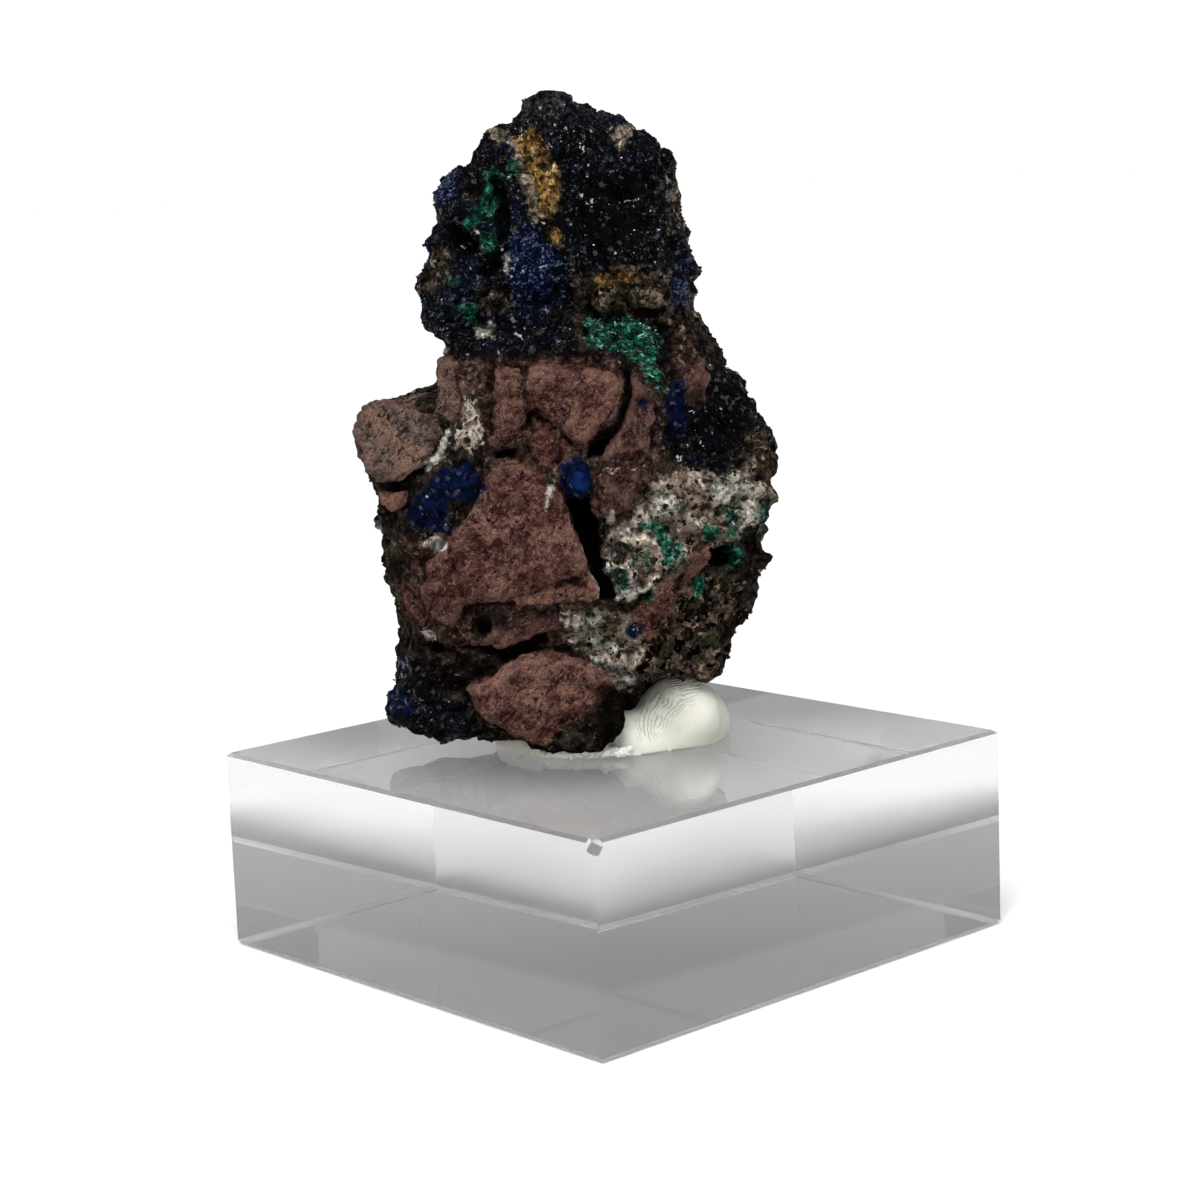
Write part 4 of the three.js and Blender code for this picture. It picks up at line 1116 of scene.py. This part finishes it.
generator = np.random.default_rng(71)
PALE_GRAINS = 350
pale_cover = (masks["quartz"] + 0.9 * grain_noise > -0.1) & (masks["clast"] < -0.1) & under_top
seats, outward = skin_seats(pale_cover, PALE_GRAINS, 72)
size = 0.16 + 0.50 * generator.random(PALE_GRAINS) ** 4
sizes = size[:, None] * (0.7 + 0.6 * generator.random((PALE_GRAINS, 3)))
quartz = grow("quartz_grains", grain_template(73), seats, leaning(outward, 0.4, generator), sizes, 74)

DARK_GRAINS = 2200
rough_cover = bare_spots & (masks["gloom"] < -0.2) & (masks["druse"] < 0) & under_top
seats, outward = skin_seats(rough_cover, DARK_GRAINS, 75)
size = 0.16 + 0.40 * generator.random(DARK_GRAINS) ** 3
sizes = size[:, None] * (0.7 + 0.6 * generator.random((DARK_GRAINS, 3)))
matrix_grains = grow("matrix_grains", grain_template(76), seats, leaning(outward, 0.4, generator), sizes, 77)


def grain_finish(name, low_colour, high_colour, odd_colour, odd_share, rough, gloss):
    finish = Finish(name)
    own = finish.attribute("own")
    colour = finish.mix(own * own, low_colour, high_colour)
    colour = finish.mix(finish.ramp(own, 1 - odd_share - 0.01, 1 - odd_share + 0.01), colour, odd_colour)
    colour = finish.mix(finish.ramp(finish.grain(0.4, 2.0), 0.55, 0.7) * 0.4, colour, low_colour)
    return finish.build(
        Base_Color=colour,
        Roughness=rough + 0.25 * finish.grain(0.4, 2.0),
        Specular_IOR_Level=gloss,
        Normal=finish.bump(finish.grain(0.12, 2.0), 0.04, 0.6),
    )


quartz.data.materials.append(
    grain_finish("quartz", (0.020, 0.017, 0.011), (0.40, 0.38, 0.31), (0.008, 0.060, 0.038), 0.07, 0.25, 0.3)
)
matrix_grains.data.materials.append(
    grain_finish(
        "matrix_grain", (0.004, 0.003, 0.003), (0.036, 0.027, 0.020), (0.15, 0.13, 0.11), 0.03, 0.5, 0.15
    )
)

# %% [markdown]
# The putty was rolled, pressed down and left: a low pad under the rock and a rounded lobe beside it.
# Spheres squashed to those sizes are skinned together by a voxel remesh, smoothed into one form and cut off
# flat where they meet the block. Its front foot is ragged where it was torn, and the lobe carries fine
# curved ridges.

# %% Putty
PUTTY_VOXEL = 0.3 * MM
PUTTY_LUMPS = [
    ((-0.6, 0.6, 20.0), (11.0, 7.8, 4.9)),
    ((6.6, 2.2, 21.0), (5.7, 7.4, 4.9)),
    ((6.9, -2.0, 22.3), (4.4, 3.0, 4.6)),
    ((-2.6, -3.6, 20.0), (6.0, 3.4, 1.9)),
    ((2.6, -2.6, 20.4), (3.4, 2.8, 3.0)),
]
PUTTY_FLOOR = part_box("putty_pad")[0].z / MM
SMOOTH_ROUNDS = 6
RIDGE_MIDDLE = (8.4, -3.8, 21.6)
RIDGE_SIDE = (-0.64, 0.10, 0.76)
RIDGE_PITCH = 0.34 * MM
RIDGE_WANDER = 1.6 * MM

lumps = bmesh.new()
for middle, half in PUTTY_LUMPS:
    made = bmesh.ops.create_uvsphere(lumps, u_segments=40, v_segments=24, radius=MM)["verts"]
    bmesh.ops.scale(lumps, verts=made, vec=half)
    bmesh.ops.translate(lumps, verts=made, vec=Vector(middle) * MM)
bmesh.ops.rotate(lumps, verts=lumps.verts, matrix=FACE_TO_FRAME)
putty = remeshed(link_piece("putty", lumps), PUTTY_VOXEL)
soft_places = smoothed(putty.data, places(putty.data), SMOOTH_ROUNDS)
set_places(putty.data, soft_places)
spots = to_face(soft_places)
torn = ease(-spots[:, 1], 3.2, 4.6) * ease(3.0 - spots[:, 0], 0.0, 1.5) * ease(23.0 - spots[:, 2], 0.0, 0.6)
push = 0.06 * soft_noise(spots, 3.0, 2.0) + 0.05 * soft_noise(spots, 0.9, 9.0)
push += torn * (0.50 * np.abs(soft_noise(spots, 1.2, 3.0)) + 0.35 * soft_noise(spots, 0.6, 5.0))
spots = to_face(soft_places + normals(putty.data) * push[:, None] * MM)
spots[:, 2] = np.maximum(spots[:, 2], PUTTY_FLOOR)
set_places(putty.data, from_face(spots))
for polygon in putty.data.polygons:
    polygon.use_smooth = True


def putty_finish():
    finish = Finish("mineral_putty")
    mottle = finish.grain(4.0, 4.0, 0.6, 4.0)
    fine = finish.grain(0.35, 3.0, 0.6, 1.0)
    colour = finish.mix(finish.ramp(mottle, 0.35, 0.7), (0.64, 0.64, 0.55), (0.76, 0.76, 0.68))
    colour = finish.mix(finish.ramp(fine, 0.68, 0.78) * 0.5, colour, (0.40, 0.39, 0.33))
    # Painted light: the crumbs, which carry a number of their own, are painted nearly white, as if in full
    # light, though they sit under the rock.
    colour = finish.mix(finish.ramp(finish.attribute("own"), 0.0, 0.4), colour, (0.95, 0.95, 0.86))
    ridge_middle = from_face(RIDGE_MIDDLE)
    from_middle = finish.vector("DISTANCE", finish.place, tuple(ridge_middle), output="Value")
    wavy = from_middle + finish.grain(2.4, 3.0) * RIDGE_WANDER
    wave = finish.node("ShaderNodeMath", {"operation": "SINE"}, {0: wavy * (2 * math.pi / RIDGE_PITCH)})
    side = from_face(RIDGE_SIDE) / MM
    reach = finish.vector("DOT_PRODUCT", finish.place, tuple(side), output="Value")
    past_middle = reach - float(ridge_middle @ side)
    ringed = finish.ramp(from_middle, 2.2 * MM, 3.0 * MM) * finish.ramp(from_middle, 6.6 * MM, 5.4 * MM)
    pressed = ringed * finish.ramp(past_middle, 1.6 * MM, 3.2 * MM)
    pressed = pressed * finish.ramp(finish.grain(1.2, 3.0), 0.36, 0.52)
    # Painted shade: the troughs between the lobe's ridges are painted dark.
    colour = finish.mix(finish.ramp(wave, 0.1, -0.9) * pressed * 0.5, colour, (0.14, 0.13, 0.105))
    relief = (wave * 0.5 + 0.5) * pressed * 0.8 + fine * 0.35
    return finish.build(
        Base_Color=colour,
        Roughness=0.62 + 0.15 * fine,
        Specular_IOR_Level=0.4,
        Subsurface_Weight=0.15,
        Subsurface_Scale=0.002,
        Normal=finish.bump(relief, 0.12, 0.8),
    )


CRUMBS = 210
FOOT_TOP = 21.2
FOOT_FRONT = -5.2
FOOT_MIDDLE = -2.4
FOOT_HALF = 4.4
CRUMB_SHIFT = (0, -0.75, 0)
putty_u, putty_v, putty_w = to_face(places(putty.data)).T
foot_edge = (putty_w < FOOT_TOP) & (putty_v < FOOT_FRONT) & (np.abs(putty_u - FOOT_MIDDLE) < FOOT_HALF)
generator = np.random.default_rng(81)
picked = generator.choice(np.flatnonzero(foot_edge), CRUMBS)
size = 0.35 + 0.70 * generator.random(CRUMBS) ** 2
sizes = size[:, None] * (0.6 + 0.7 * generator.random((CRUMBS, 3)))
seats = to_face(places(putty.data)[picked]) + CRUMB_SHIFT
seats[:, 2] = np.maximum(seats[:, 2], PUTTY_FLOOR + 0.75 * size)
crumbs = grow("putty_crumbs", grain_template(82), from_face(seats), normals(putty.data)[picked], sizes, 83)
crumbs.data.materials.append(putty_finish())
putty.data.materials.clear()
putty.data.materials.append(crumbs.data.materials[0])
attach(putty, "root")
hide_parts("putty_pad")
print("putty", len(putty.data.vertices), "vertices")

# %% [markdown]
# The block's solid is already right, down to its polished bevels and its chipped corner, so it stays and
# only gets a material. Acrylic is plain transmission with an index of 1.49. Handling leaves faint smears,
# which show as small changes of roughness, and a breath of grey in thick acrylic comes from its colour.

# %% Clear acrylic
def acrylic_finish():
    finish = Finish("clear_acrylic")
    smear = finish.ramp(finish.grain(14.0, 4.0, 0.6, 3.0), 0.55, 0.75)
    scratched = finish.ramp(finish.grain(9.0, 2.0, 0.5, 8.0), 0.58, 0.66)
    scratch = finish.ramp(finish.grain(0.5, 2.0), 0.70, 0.74) * scratched
    facing = finish.node("ShaderNodeNewGeometry", output="True Normal")
    spread = finish.vector("ABSOLUTE", facing)
    x, y, z = (finish.node("ShaderNodeSeparateXYZ", None, {0: spread}, axis) for axis in range(3))
    bevel = finish.ramp(x | y | z, 0.98, 0.90)
    return finish.build(
        Base_Color=(0.90, 0.895, 0.89),
        Roughness=0.004 + 0.012 * smear + 0.10 * scratch + 0.90 * bevel,
        IOR=1.49,
        Transmission_Weight=1.0,
    )


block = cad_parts["acrylic_block"]
block.data.materials.clear()
block.data.materials.append(acrylic_finish())
print("block is dressed")
